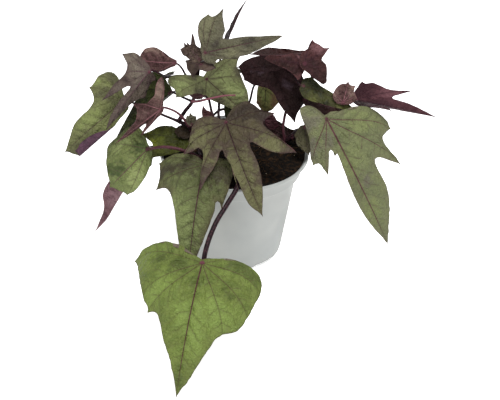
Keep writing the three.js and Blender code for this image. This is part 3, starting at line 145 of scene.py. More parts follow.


# Each leaf has its node and slot and the finish of its upper and under face. Its dark spots lie at
# (angle, reach, size), a pale spot having a size below nought. The dark spots are partly real staining
# and partly painted shade and shadow, the pale spots partly paler tone and partly painted light and
# sheen. The joint with its stalk is in millimetres, and turn is the way its midrib runs: heading round Z,
# pitch above the ground, roll about itself. The midrib's length arches through an angle. left and right
# give the cross-section on each side: the slope at the midrib, then arcs of (width, turn). wave is the
# height and number of waves along the edge. The outline is a list of (angle from the midrib, reach from
# the joint).
LEAVES = [
    blade(
        "leaf_front_heart", "leaf_green", "bright_green", "under_green",
        stains_and_shades=[
            (-85, 27, 9), (-80, 37, 8), (70, 17, 8), (85, 32, 6), (0, 92, 8), (0, 40, -13), (-25, 42, -12),
            (45, 40, -9), (-5, 60, -10), (-40, 34, 6), (0, 20, 7),
        ],
        veins=(-96, -72, -48, -25, 56),
        joint=(-22, -110, 60), turn=(-101, -36, 3), length=102, arch=28,
        left=[8, (40, -35)], right=[8, (55, -45)], wave=(0.6, 7),
        outline=[
            (180, 2.5), (138, 5), (116, 14), (115, 26), (113, 42), (104, 57), tip(95, 62), (82, 53),
            (64, 50), (50, 51), tip(37, 55), (29, 51), (14, 65), (5, 80), tip(0, 102), (-4, 91), (-8, 81),
            (-12, 73), (-16, 67), (-20, 62), (-24, 60), (-30, 60), (-37, 61), (-46, 57), (-60, 52),
            (-78, 49), (-90, 43), (-99, 30), (-106, 16), (-130, 6),
        ],
    ),
    blade(
        "leaf_front_lower", "leaf_green", "shaded_green", "under_green",
        stains_and_shades=[
            (75, 30, 9), (-55, 12, 12), (70, 12, 10), (45, 40, 5), (10, 47, -12), (5, 60, -12),
            (25, 40, -8),
        ],
        joint=(-23, -43, 104), turn=(-103, -58, -4), length=90, arch=55,
        left=[3, (40, -20)], right=[0, (30, -35)], wave=(1, 6),
        outline=[
            (180, 3), (127, 11), (113, 24), (106, 35), tip(96, 43), (84, 39), (73, 39), tip(59, 46),
            (54, 37), (44, 35), (27, 40), (17, 49), (11, 59), (6, 71), tip(0, 90), (-3, 77), (-9, 59),
            (-14, 49), (-22, 38), (-29, 32), tip(-30, 40), (-45, 31), (-62, 26), (-75, 24), tip(-91, 26),
            (-105, 22), (-118, 14), (-135, 7),
        ],
    ),
    blade(
        "leaf_front_star", "leaf_olive", "olive_brown", "dusty_purple",
        stains_and_shades=[
            (-95, 20, 10), (-75, 30, 9), (-90, 12, 8), (-60, 37, 6), (-155, 10, 5), (5, 44, -13),
            (0, 67, -12), (25, 44, -9), (-35, 42, -8), (70, 24, -9), (45, 32, -7),
        ],
        joint=(-7, -21, 129), turn=(-63, -37, 33), length=82, arch=30,
        left=[6, (40, -30)], right=[15, (40, -6)], wave=(0.8, 6),
        outline=[
            (180, 2.5), (140, 6), (126, 16), (118, 22), (104, 26), (87, 29), (72, 35), tip(68, 42),
            (63, 35), (61, 30), (52, 31), (44, 40), (41, 50), tip(38, 59), (36, 49), (32, 41), (28, 33),
            (24, 25), (18, 30), (11, 38), (9, 47), (9, 57), (5, 69), tip(0, 82), (-4, 71), (-10, 58),
            (-16, 44), (-21, 32), (-26, 28), (-30, 34), (-32, 43), (-36, 52), tip(-43, 63), (-45, 55),
            (-50, 43), (-55, 35), (-63, 30), (-70, 31), tip(-79, 39), (-85, 30), (-94, 27), (-104, 25),
            (-117, 23), (-129, 18), (-140, 10),
        ],
    ),
    blade(
        "leaf_upper_middle", "leaf_green", "middle_green", "under_green",
        stains_and_shades=[
            (140, 12, 4), (75, 12, 5), (115, 24, -8), (-20, 24, -9), (-45, 14, -6), (10, 20, 6),
            (-50, 27, 7),
        ],
        joint=(-23, 10, 150), turn=(5, -44, 82), length=45, arch=24,
        left=[4, (40, -25)], right=[4, (40, -30)], wave=(0.7, 6),
        outline=[
            (180, 3), (160, 7), (150, 13), (145, 20), (141, 28), (134, 31), (126, 30), (116, 27),
            tip(104, 30), (98, 24), (90, 18), (70, 15), (38, 17), (19, 23), (8, 33), tip(0, 45), (-10, 41),
            (-22, 36), (-36, 30), (-52, 27), (-65, 26), tip(-76, 32), (-88, 24), (-102, 15), (-120, 8),
            (-150, 4),
        ],
    ),
    blade(
        "leaf_top_flag", "leaf_olive", "flag_green", "under_green",
        stains_and_shades=[(-20, 7, 6), (-70, 24, -8), (-80, 10, -7), (0, 34, 5), (8, 20, -5)],
        joint=(-24, 0, 177), turn=(4, 13, 64), length=63, arch=26,
        left=[4, (30, -25)], right=[2, (40, -35)], wave=(0.6, 6),
        outline=[
            (180, 2.5), (130, 5), (90, 8), tip(60, 12), (40, 11), (30, 15), tip(22, 26), (15, 33), (10, 40),
            (6, 47), (3, 55), tip(0, 63), (-2, 54), (-4, 45), (-8, 36), (-13, 27), (-18, 20), (-26, 18),
            (-34, 23), (-44, 27), (-51, 31), tip(-55, 37), (-60, 31), (-67, 28), tip(-74, 30), (-82, 27),
            (-89, 24), (-93, 17), (-98, 8), (-140, 4),
        ],
    ),
    blade(
        "leaf_top_sliver", "leaf_purple", "near_black", "wine",
        joint=(-9, 13, 181), turn=(-8, 66, 8), length=40, arch=5,
        left=[2, (10, -12)], right=[2, (10, -12)], wave=(0.3, 4),
        outline=[
            (180, 2), (115, 6), tip(80, 10), (54, 10), (36, 13), (21, 20), (9, 29), tip(0, 40), (-9, 29),
            (-21, 20), (-36, 13), (-54, 10), tip(-80, 10), (-115, 6),
        ],
    ),
    blade(
        "leaf_left_fold", "leaf_mauve", "mauve_grey", "dusty_purple",
        stains_and_shades=[(80, 22, -7), (40, 12, -7), (15, 37, 7), (30, 22, 6), (-50, 14, 6), (20, 30, -5)],
        joint=(-66, -6, 163), turn=(-167, -53, -46), length=60, arch=22,
        left=[-100, (20, -20)], right=[2, (30, -20)], wave=(0.5, 5),
        outline=[
            (180, 1.5), (140, 4), (113, 9), (102, 15), (96, 21), (86, 25), tip(80, 29), (73, 23), (66, 20),
            (50, 20), (38, 24), (31, 32), (25, 39), tip(21, 47), (20, 38), (19, 29), (17, 21), (12, 19),
            (8, 25), (7, 33), (5, 41), (3, 49), tip(0, 60), (-5, 46), (-10, 36), (-20, 28), tip(-36, 27),
            (-48, 16), (-64, 12), tip(-78, 14), (-92, 5), (-130, 1.5),
        ],
    ),
    blade(
        "leaf_left_purple", "leaf_purple", "maroon", "dusty_purple",
        stains_and_shades=[(-5, 14, 8), (20, 7, 7), (-25, 27, -6), (-30, 20, -5)],
        joint=(-47, 6, 165), turn=(165, -3, 137), length=31, arch=30,
        left=[2, (25, -20)], right=[2, (25, -25)], wave=(0.5, 5),
        outline=[
            (180, 1.5), (100, 2.5), (60, 4), (38, 10), (34, 14), tip(26, 19), (19, 23), (9, 28), tip(0, 31),
            (-11, 30), (-20, 29), (-27, 26), (-32, 23), (-34, 18), (-36, 11), (-60, 4), (-110, 2.5),
        ],
    ),
    blade(
        "leaf_far_left", "leaf_green", "moss_green", "violet",
        stains_and_shades=[(60, 14, 7), (100, 20, 6), (10, 30, -8), (-5, 54, 7), (75, 27, -6), (-30, 50, 6)],
        joint=(-89, 6, 131), turn=(-163, -39, -59), length=63, arch=20,
        left=[2, (8, 0), (9, 185)], right=[2, (30, -20)], wave=(0.3, 5),
        outline=[
            (180, 2.5), (145, 5), (127, 10), (121, 17), (115, 23), (106, 26), (97, 27), (87, 28), (75, 27),
            tip(63, 29), (53, 24), (40, 23), (27, 28), (21, 35), (15, 43), (8, 50), tip(0, 63), (-9, 57),
            tip(-20, 57), (-25, 50), (-29, 42), (-30, 34), (-31, 25), (-36, 17), (-60, 10), (-95, 7),
        ],
    ),
    blade(
        "leaf_left_dark", "leaf_deep", "dark_green", "under_dark",
        stains_and_shades=[(35, 24, 7), (45, 17, -5), (15, 32, 7)],
        joint=(-52, 18, 133), turn=(-175, -42, -64), length=62, arch=30,
        left=[-80, (20, -20)], right=[4, (30, -20)], wave=(0.6, 5),
        outline=[
            (180, 2.5), (130, 5), (110, 9), (103, 15), (94, 21), (81, 23), (63, 24), (43, 27), (27, 29),
            (17, 34), (9, 42), (4, 51), tip(0, 62), (-4, 50), (-10, 38), (-20, 28), (-40, 22), (-70, 19),
            (-100, 14), (-130, 7),
        ],
    ),
    blade(
        "leaf_left_small", "leaf_purple", "maroon", "dusty_purple",
        stains_and_shades=[(-45, 14, 6), (0, 22, 7), (0, 40, 8), (-120, 14, -7), (5, 12, 6)],
        joint=(-58, -6, 131), turn=(-164, -35, 114), length=46, arch=16,
        left=[4, (20, -20)], right=[4, (20, -20)], wave=(0.4, 5),
        outline=[
            (150, 2.5), (60, 4), (28, 9), (19, 18), tip(16, 27), (12, 21), (8, 17), (5, 21), (3, 32),
            tip(0, 46), (-5, 30), (-12, 22), (-30, 19), (-39, 19), tip(-47, 22), (-52, 16), (-58, 12),
            (-78, 11), (-104, 12), (-115, 18), (-124, 24), tip(-131, 27), (-134, 21), (-137, 14), (-145, 7),
            (-175, 2.5),
        ],
    ),
    blade(
        "leaf_left_low", "leaf_green", "pale_green", "under_green",
        stains_and_shades=[(5, 30, 6), (35, 7, 7), (40, 27, -7), (-25, 27, -8), (15, 37, 5), (50, 20, -5)],
        joint=(-69, -4, 94), turn=(-167, -42, -56), length=47, arch=30,
        left=[4, (20, -20)], right=[8, (25, -45)], wave=(0.5, 5),
        outline=[
            (180, 2), (140, 3), (116, 6), (112, 12), (107, 19), (97, 24), (84, 27), (70, 28), (55, 32),
            (45, 36), (34, 36), (22, 37), (8, 40), tip(-3, 46), (-12, 43), tip(-23, 43), (-29, 38),
            (-35, 31), (-43, 23), (-50, 17), tip(-60, 14), (-78, 8), (-120, 4),
        ],
    ),
    blade(
        "leaf_left_low_tip", "leaf_purple", "faded_purple", "faded_purple",
        stains_and_shades=[(5, 20, -6), (0, 42, 6), (0, 32, -4)],
        joint=(-93, 6, 62), turn=(-170, -66, 138), length=60, arch=24,
        left=[6, (14, -30)], right=[6, (14, -30)], wave=(0.3, 4),
        outline=[
            (180, 2), (90, 5), (45, 10), (18, 19), (8, 31), (4, 45), tip(0, 60), (-2, 50), (-4, 41),
            (-9, 35), (-18, 30), (-27, 22), (-45, 11), (-90, 5),
        ],
    ),
    blade(
        "leaf_left_inner", "leaf_deep", "deep_green", "under_dark",
        stains_and_shades=[(10, 27, 8), (-10, 14, 8), (5, 34, -6), (-15, 32, -6), (25, 14, 6)],
        joint=(-35, -2, 101), turn=(174, 4, -31), length=41, arch=26,
        left=[4, (18, -15)], right=[4, (18, -15)], wave=(0.5, 5),
        outline=[
            (180, 2), (110, 4), (58, 7), (38, 13), tip(30, 20), (24, 23), (16, 28), (6, 33), tip(0, 41),
            (-7, 35), (-15, 31), (-26, 32), tip(-35, 36), (-41, 28), (-50, 20), (-66, 12), (-100, 6),
        ],
    ),
    blade(
        "leaf_left_grey", "leaf_mauve", "bark_brown", "under_dark",
        joint=(-35, 4, 107), turn=(-163, 4, -27), length=14, arch=20,
        left=[4, (8, -20)], right=[4, (8, -20)], wave=(0.2, 4),
        outline=[
            (180, 2), (120, 4), (80, 5), (48, 8), (23, 11), tip(0, 14), (-23, 13), (-49, 10), (-75, 7),
            (-120, 4),
        ],
    ),
    blade(
        "leaf_right_large", "leaf_green", "sage_green", "under_green",
        stains_and_shades=[
            (100, 14, 9), (50, 27, 8), (20, 17, 6), (-50, 27, -10), (0, 40, -10), (0, 87, -9), (-5, 60, 6),
        ],
        joint=(71, -12, 129), turn=(-12, -62, 61), length=127, arch=24,
        left=[4, (45, -30)], right=[6, (30, -40)], wave=(1.2, 7),
        outline=[
            (180, 3), (165, 8), (160, 14), (152, 19), (140, 22), (123, 20), (103, 18), (77, 19), (58, 26),
            (48, 35), tip(42, 40), (36, 37), (30, 41), tip(25, 47), (24, 38), (23, 30), (20, 25),
            tip(15, 31), (11, 29), (9, 36), (8, 48), (7, 72), (4, 97), tip(0, 127), (-2, 116), (-5, 105),
            (-9, 94), (-14, 79), (-18, 61), (-22, 54), (-26, 57), (-28, 66), tip(-30, 78), (-32, 71),
            (-34, 63), (-41, 51), (-46, 52), tip(-51, 58), (-57, 54), (-69, 42), (-75, 35), (-79, 25),
            (-86, 14), (-120, 6),
        ],
    ),
    blade(
        "leaf_right_purple", "leaf_purple", "maroon", "dusty_purple",
        stains_and_shades=[(-45, 12, 9), (-75, 12, 7), (-25, 27, -8), (0, 20, 8), (-15, 34, -6)],
        joint=(94, 2, 139), turn=(-9, -8, 44), length=66, arch=16,
        left=[4, (16, -20)], right=[-85, (16, -20)], wave=(0.4, 5),
        outline=[
            (180, 2), (125, 5), (90, 11), tip(66, 16), (44, 17), (28, 22), tip(18, 32), (11, 29), (6, 40),
            (2, 54), tip(0, 66), (-3, 54), (-7, 43), (-11, 33), (-15, 29), (-19, 35), tip(-22, 46),
            (-26, 33), (-32, 27), (-43, 23), (-58, 20), (-70, 16), tip(-82, 17), (-96, 9), (-130, 4),
        ],
    ),
    blade(
        "leaf_right_young", "leaf_purple", "maroon", "dusty_purple",
        stains_and_shades=[(15, 4, 6), (-20, 12, -6), (50, 10, -5)],
        joint=(84, -4, 139), turn=(60, 67, -161), length=18, arch=30,
        left=[8, (8, -40)], right=[8, (8, -40)], wave=(0.3, 4),
        outline=[
            (180, 1.5), (110, 5), (74, 10), (50, 12), (30, 14), (16, 15), (6, 15), tip(0, 18), (-8, 15),
            tip(-22, 17), (-32, 12), (-46, 12), (-62, 12), (-88, 6),
        ],
    ),
    blade(
        "leaf_right_green", "leaf_green", "grass_green", "under_green",
        stains_and_shades=[(10, 4, 9), (5, 12, 7), (15, 27, 6), (5, 37, -8), (10, 32, -7), (35, 14, -5)],
        joint=(53, 8, 147), turn=(-11, -21, 37), length=47, arch=34,
        left=[10, (16, -30)], right=[10, (16, -50)], wave=(0.4, 5),
        outline=[
            (180, 2), (105, 5), (69, 10), (47, 14), (28, 20), (16, 29), (8, 38), tip(0, 47), (-2, 38),
            (-5, 28), (-11, 20), (-20, 14), (-38, 11), tip(-66, 10), (-97, 7), (-125, 4),
        ],
    ),
    blade(
        "leaf_right_under", "leaf_dark", "near_black", "under_dark",
        joint=(56, 16, 131), turn=(-6, -12, -149), length=39, arch=20,
        left=[4, (16, -15)], right=[4, (16, -15)], wave=(0.3, 4),
        outline=[
            (180, 1.5), (90, 6), (45, 12), (23, 20), (10, 30), tip(0, 39), (-8, 31), (-20, 25),
            tip(-31, 21), (-40, 13), (-60, 7), (-110, 4),
        ],
    ),
    blade(
        "leaf_right_rim", "leaf_deep", "grey_green", "under_green",
        joint=(55, -6, 118), turn=(-76, -50, 28), length=23, arch=20,
        left=[4, (12, -20)], right=[4, (12, -20)], wave=(0.3, 4),
        outline=[
            (180, 1.5), (110, 4), (80, 6), tip(62, 11), (35, 15), (15, 19), tip(0, 23), (-11, 18),
            (-29, 12), (-58, 6), (-110, 3),
        ],
    ),
    blade(
        "leaf_right_inner", "leaf_mauve", "bark_brown", "under_dark",
        joint=(45, 19, 94), turn=(-169, 32, 138), length=30, arch=16,
        left=[4, (8, -20)], right=[4, (8, -20)], wave=(0.3, 4),
        outline=[
            (180, 2), (100, 3), (58, 6), (34, 10), (13, 17), (4, 24), tip(0, 30), (-13, 25), (-26, 20),
            (-36, 15), (-50, 10), (-70, 8), (-104, 8), (-118, 12), (-128, 8), (-143, 4),
        ],
    ),
    blade(
        "leaf_right_red", "leaf_purple", "maroon", "wine",
        joint=(33, 14, 106), turn=(-166, 58, -91), length=15, arch=20,
        left=[4, (8, -20)], right=[4, (8, -20)], wave=(0.2, 4),
        outline=[(180, 1), (90, 3), (45, 5), (29, 9), (16, 14), tip(0, 16), (-16, 13), (-39, 9), (-80, 4)],
    ),
    blade(
        "leaf_right_back", "leaf_green", "olive_green", "under_green",
        stains_and_shades=[(5, 12, -6), (-25, 17, 6), (15, 22, 5)],
        joint=(25, 34, 137), turn=(180, -87, -72), length=28, arch=24,
        left=[4, (12, -20)], right=[4, (12, -20)], wave=(0.4, 4),
        outline=[
            (180, 1.5), (110, 4), (55, 8), (30, 14), tip(18, 22), (8, 25), tip(-2, 29), (-15, 26),
            (-28, 22), tip(-43, 21), (-58, 13), (-95, 6),
        ],
    ),
    blade(
        "leaf_upper_dark", "leaf_dark", "near_black", "under_dark",
        stains_and_shades=[(-15, 17, -4), (105, 10, -5), (-20, 34, 6), (5, 7, 6)],
        joint=(29, 26, 153), turn=(-31, -62, 45), length=50, arch=26,
        left=[4, (30, -26)], right=[6, (30, -34)], wave=(0.7, 6),
        outline=[
            (180, 7), (150, 9), (130, 11), (121, 16), (118, 22), tip(115, 27), (103, 25), tip(91, 25),
            (75, 21), (53, 17), (33, 17), (20, 21), (13, 29), (7, 37), (3, 42), tip(0, 50), (-4, 44),
            (-10, 41), (-18, 39), (-28, 35), (-38, 31), (-47, 27), tip(-60, 24), (-74, 21), (-89, 16),
            (-124, 9),
        ],
    ),
    blade(
        "leaf_upper_left", "leaf_purple", "near_black", "under_dark",
        joint=(38, 16, 161.5), turn=(-171, -2, -98), length=38, arch=16,
        left=[4, (14, -20)], right=[4, (14, -20)], wave=(0.4, 4),
        outline=[
            (180, 1.5), (100, 4), (46, 7), (34, 14), (29, 21), (19, 28), (9, 34), tip(0, 38), (-3, 31),
            (-6, 24), (-18, 16), (-30, 10), (-49, 6), (-110, 3),
        ],
    ),
    blade(
        "leaf_upper_edge", "leaf_dark", "near_black", "under_dark",
        joint=(57, 26, 167), turn=(-172, 1, 176), length=48, arch=20,
        left=[4, (10, -20)], right=[4, (10, -20)], wave=(0.3, 4),
        outline=[
            (180, 1.5), (110, 3), (46, 6), (18, 13), (10, 24), (10, 34), tip(0, 48), (-10, 40), (-19, 33),
            (-21, 26), (-26, 19), (-34, 10), (-62, 5), (-120, 2),
        ],
    ),
    blade(
        "leaf_upper_pink", "leaf_purple", "near_black", "wine",
        stains_and_shades=[(0, 14, 8), (40, 7, 8), (-20, 20, -6), (-75, 4, -6), (-45, 14, 5)],
        joint=(51, 15, 163), turn=(-165, 13, 129), length=32, arch=24,
        left=[4, (12, -20)], right=[4, (12, -20)], wave=(0.4, 4),
        outline=[
            (180, 1.5), (125, 5), (96, 9), tip(80, 16), (50, 12), (25, 14), (12, 19), (5, 25), tip(0, 32),
            (-8, 27), (-12, 20), (-22, 14), (-40, 11), (-66, 7), (-120, 3),
        ],
    ),
    blade(
        "leaf_upper_tall", "leaf_purple", "near_black", "wine",
        stains_and_shades=[(20, 17, -7), (-20, 17, 7), (-65, 12, 9), (-5, 2, 6), (0, 17, -5)],
        joint=(53, 10, 165), turn=(17, 29, -125), length=24, arch=26,
        left=[6, (16, -25), (8, 110)], right=[4, (18, -20)], wave=(0.4, 5),
        outline=[
            (180, 4), (98, 6), (67, 9), (51, 11), (41, 14), tip(39, 20), (20, 19), (6, 20), tip(0, 24),
            (-9, 17), (-19, 14), (-33, 17), (-50, 19), (-65, 21), tip(-76, 28), (-82, 20), (-89, 14),
            (-103, 7), (-140, 4.5),
        ],
    ),
    blade(
        "leaf_middle_dark", "leaf_deep", "dark_green", "under_dark",
        joint=(-2, 14, 112), turn=(126, 67, -17), length=19, arch=20,
        left=[4, (8, -20)], right=[4, (8, -20)], wave=(0.3, 4),
        outline=[
            (180, 1.5), (110, 3), (62, 5), (36, 9), (21, 15), tip(0, 20), (-14, 15), (-29, 11), (-60, 6),
            (-110, 3),
        ],
    ),
    blade(
        "leaf_node_dark", "leaf_dark", "near_black", "under_dark",
        joint=(-26, 1, 139), turn=(-172, 8, 148), length=10, arch=10,
        left=[4, (8, -20)], right=[4, (8, -20)], wave=(0.2, 3),
        outline=[(180, 1), (90, 2), (40, 4), (18, 7), tip(0, 10), (-18, 7), (-40, 4), (-90, 2)],
    ),
    blade(
        "leaf_crown_red", "leaf_purple", "maroon", "wine",
        joint=(-21, -3, 122), turn=(154, 66, 111), length=11, arch=10,
        left=[4, (8, -20)], right=[4, (8, -20)], wave=(0.2, 3),
        outline=[(180, 1), (100, 3), (53, 5), (20, 8), tip(0, 12), (-10, 7), (-46, 6), (-90, 3)],
    ),
    blade(
        "leaf_crown_bud", "leaf_olive", "flag_green", "bark_brown",
        joint=(-34, -3, 116), turn=(147, 80, -47), length=10, arch=20,
        left=[10, (6, -60)], right=[10, (6, -60)], wave=(0.3, 3),
        outline=[
            (180, 1), (100, 3), (62, 5), tip(36, 8), (16, 8), tip(0, 11), (-8, 8), tip(-18, 9), (-40, 7),
            (-66, 4), (-110, 2),
        ],
    ),
    blade(
        "leaf_crown_curl", "leaf_mauve", "dull_mauve", "dull_mauve",
        stains_and_shades=[(165, 10, 5), (-150, 2, -5), (120, 14, 5)],
        joint=(-28, 2, 170), turn=(-151, 36, 117), length=21, arch=24,
        left=[6, (10, -40)], right=[6, (10, -40)], wave=(0.3, 5),
        outline=[
            (180, 1.5), (90, 3), (42, 6), tip(15, 11), (9, 16), tip(0, 21), (-8, 19), (-12, 18),
            tip(-17, 22), (-20, 17), tip(-24, 19), (-28, 15), (-32, 15), tip(-40, 25), (-50, 12), (-75, 9),
            (-110, 7), (-145, 4),
        ],
    ),
    blade(
        "leaf_crown_hang", "leaf_mauve", "dull_mauve", "dull_mauve",
        joint=(-30, 9, 165), turn=(-142, -69, 131), length=13, arch=20,
        left=[6, (8, -30)], right=[6, (8, -30)], wave=(0.3, 4),
        outline=[
            (180, 1.5), (80, 3), (30, 6), (8, 10), tip(0, 13), (-14, 11), (-37, 10), tip(-81, 10),
            (-110, 4),
        ],
    ),
    blade(
        "leaf_crown_small", "leaf_mauve", "dull_mauve", "dull_mauve",
        joint=(-27, -1, 168), turn=(-20, -4, 14), length=12, arch=30,
        left=[6, (6, -30)], right=[6, (6, -30)], wave=(0.2, 3),
        outline=[
            (180, 1), (110, 3), tip(76, 6), (48, 9), (24, 11), tip(0, 13), (-19, 9), (-44, 6), (-75, 4),
            (-120, 2),
        ],
    ),
    blade(
        "leaf_back_middle", "leaf_green", "bright_green", "under_green",
        stains_and_shades=[(100, 18, 9), (-84, 18, 9)],
        joint=(2, 86, 70), turn=(92, -66, 4), length=66, arch=34,
        left=[6, (40, -35)], right=[6, (40, -35)], wave=(1, 6),
        outline=[
            (180, 2.5), (140, 8), (118, 17), (100, 22), tip(82, 27), (66, 22), (50, 22), (36, 28),
            tip(26, 37), (18, 32), (12, 39), (6, 53), tip(0, 66), (-7, 52), (-13, 39), (-20, 31),
            tip(-28, 38), (-38, 28), (-52, 22), (-68, 21), tip(-84, 26), (-102, 22), (-120, 16), (-142, 7),
        ],
    ),
    blade(
        "leaf_back_left", "leaf_deep", "moss_green", "dusty_purple",
        joint=(-34, 72, 56), turn=(128, -56, -8), length=46, arch=30,
        left=[6, (30, -35)], right=[6, (30, -35)], wave=(0.8, 5),
        outline=[
            (180, 2.5), (135, 9), (108, 17), tip(80, 21), (58, 16), (38, 18), tip(28, 25), (18, 23),
            (8, 32), tip(0, 46), (-9, 31), (-20, 22), tip(-32, 26), (-46, 18), (-64, 17), tip(-82, 22),
            (-108, 17), (-136, 9),
        ],
    ),
    blade(
        "leaf_back_right", "leaf_green", "middle_green", "under_green",
        stains_and_shades=[(74, 18, 8)],
        joint=(42, 72, 58), turn=(50, -58, 10), length=48, arch=32,
        left=[6, (30, -35)], right=[6, (30, -35)], wave=(0.8, 5),
        outline=[
            (180, 2.5), (138, 9), (112, 18), (92, 21), tip(74, 25), (56, 19), (40, 21), tip(30, 29),
            (20, 25), (9, 35), tip(0, 48), (-8, 35), (-18, 24), tip(-30, 27), (-44, 19), (-62, 18),
            tip(-78, 23), (-100, 20), (-120, 14), (-142, 7),
        ],
    ),
    blade(
        "leaf_back_crown", "leaf_green", "middle_green", "under_green",
        joint=(-14, 40, 149), turn=(76, -52, 6), length=46, arch=30,
        left=[6, (30, -35)], right=[6, (30, -35)], wave=(0.8, 5),
        outline=[
            (180, 2.5), (138, 8), (112, 16), (92, 19), tip(76, 23), (58, 18), (38, 19), tip(28, 26),
            (18, 23), (8, 33), tip(0, 46), (-9, 32), (-20, 23), tip(-31, 26), (-46, 18), (-62, 17),
            tip(-80, 22), (-104, 18), (-124, 12), (-145, 6),
        ],
    ),
    blade(
        "leaf_back_upper", "leaf_deep", "dark_green", "under_dark",
        joint=(30, 44, 146), turn=(66, -56, -8), length=44, arch=30,
        left=[6, (30, -35)], right=[6, (30, -35)], wave=(0.8, 5),
        outline=[
            (180, 2.5), (136, 8), (110, 15), tip(84, 19), (60, 15), (40, 17), tip(30, 23), (18, 22),
            (8, 31), tip(0, 44), (-8, 31), (-19, 21), tip(-31, 24), (-44, 17), (-64, 16), tip(-80, 20),
            (-106, 16), (-138, 8),
        ],
    ),
    blade(
        "leaf_right_behind", "leaf_green", "grass_green", "under_green",
        joint=(78, 28, 118), turn=(34, -64, -10), length=50, arch=28,
        left=[6, (30, -35)], right=[6, (30, -35)], wave=(0.8, 5),
        outline=[
            (180, 2.5), (138, 8), (112, 16), tip(90, 20), (66, 16), (44, 18), tip(32, 25), (20, 22),
            (9, 34), tip(0, 50), (-8, 34), (-18, 23), tip(-30, 26), (-44, 18), (-62, 17), tip(-80, 21),
            (-104, 18), (-140, 7),
        ],
    ),
    blade(
        "leaf_left_behind", "leaf_deep", "dark_green", "under_dark",
        joint=(-62, 40, 135), turn=(142, -58, 4), length=42, arch=28,
        left=[6, (30, -35)], right=[6, (30, -35)], wave=(0.7, 5),
        outline=[
            (180, 2.5), (136, 8), (108, 15), tip(82, 18), (60, 14), (40, 16), tip(29, 22), (18, 20),
            (8, 29), tip(0, 42), (-9, 29), (-19, 20), tip(-30, 22), (-44, 16), (-64, 15), tip(-82, 18),
            (-108, 14), (-138, 7),
        ],
    ),
]

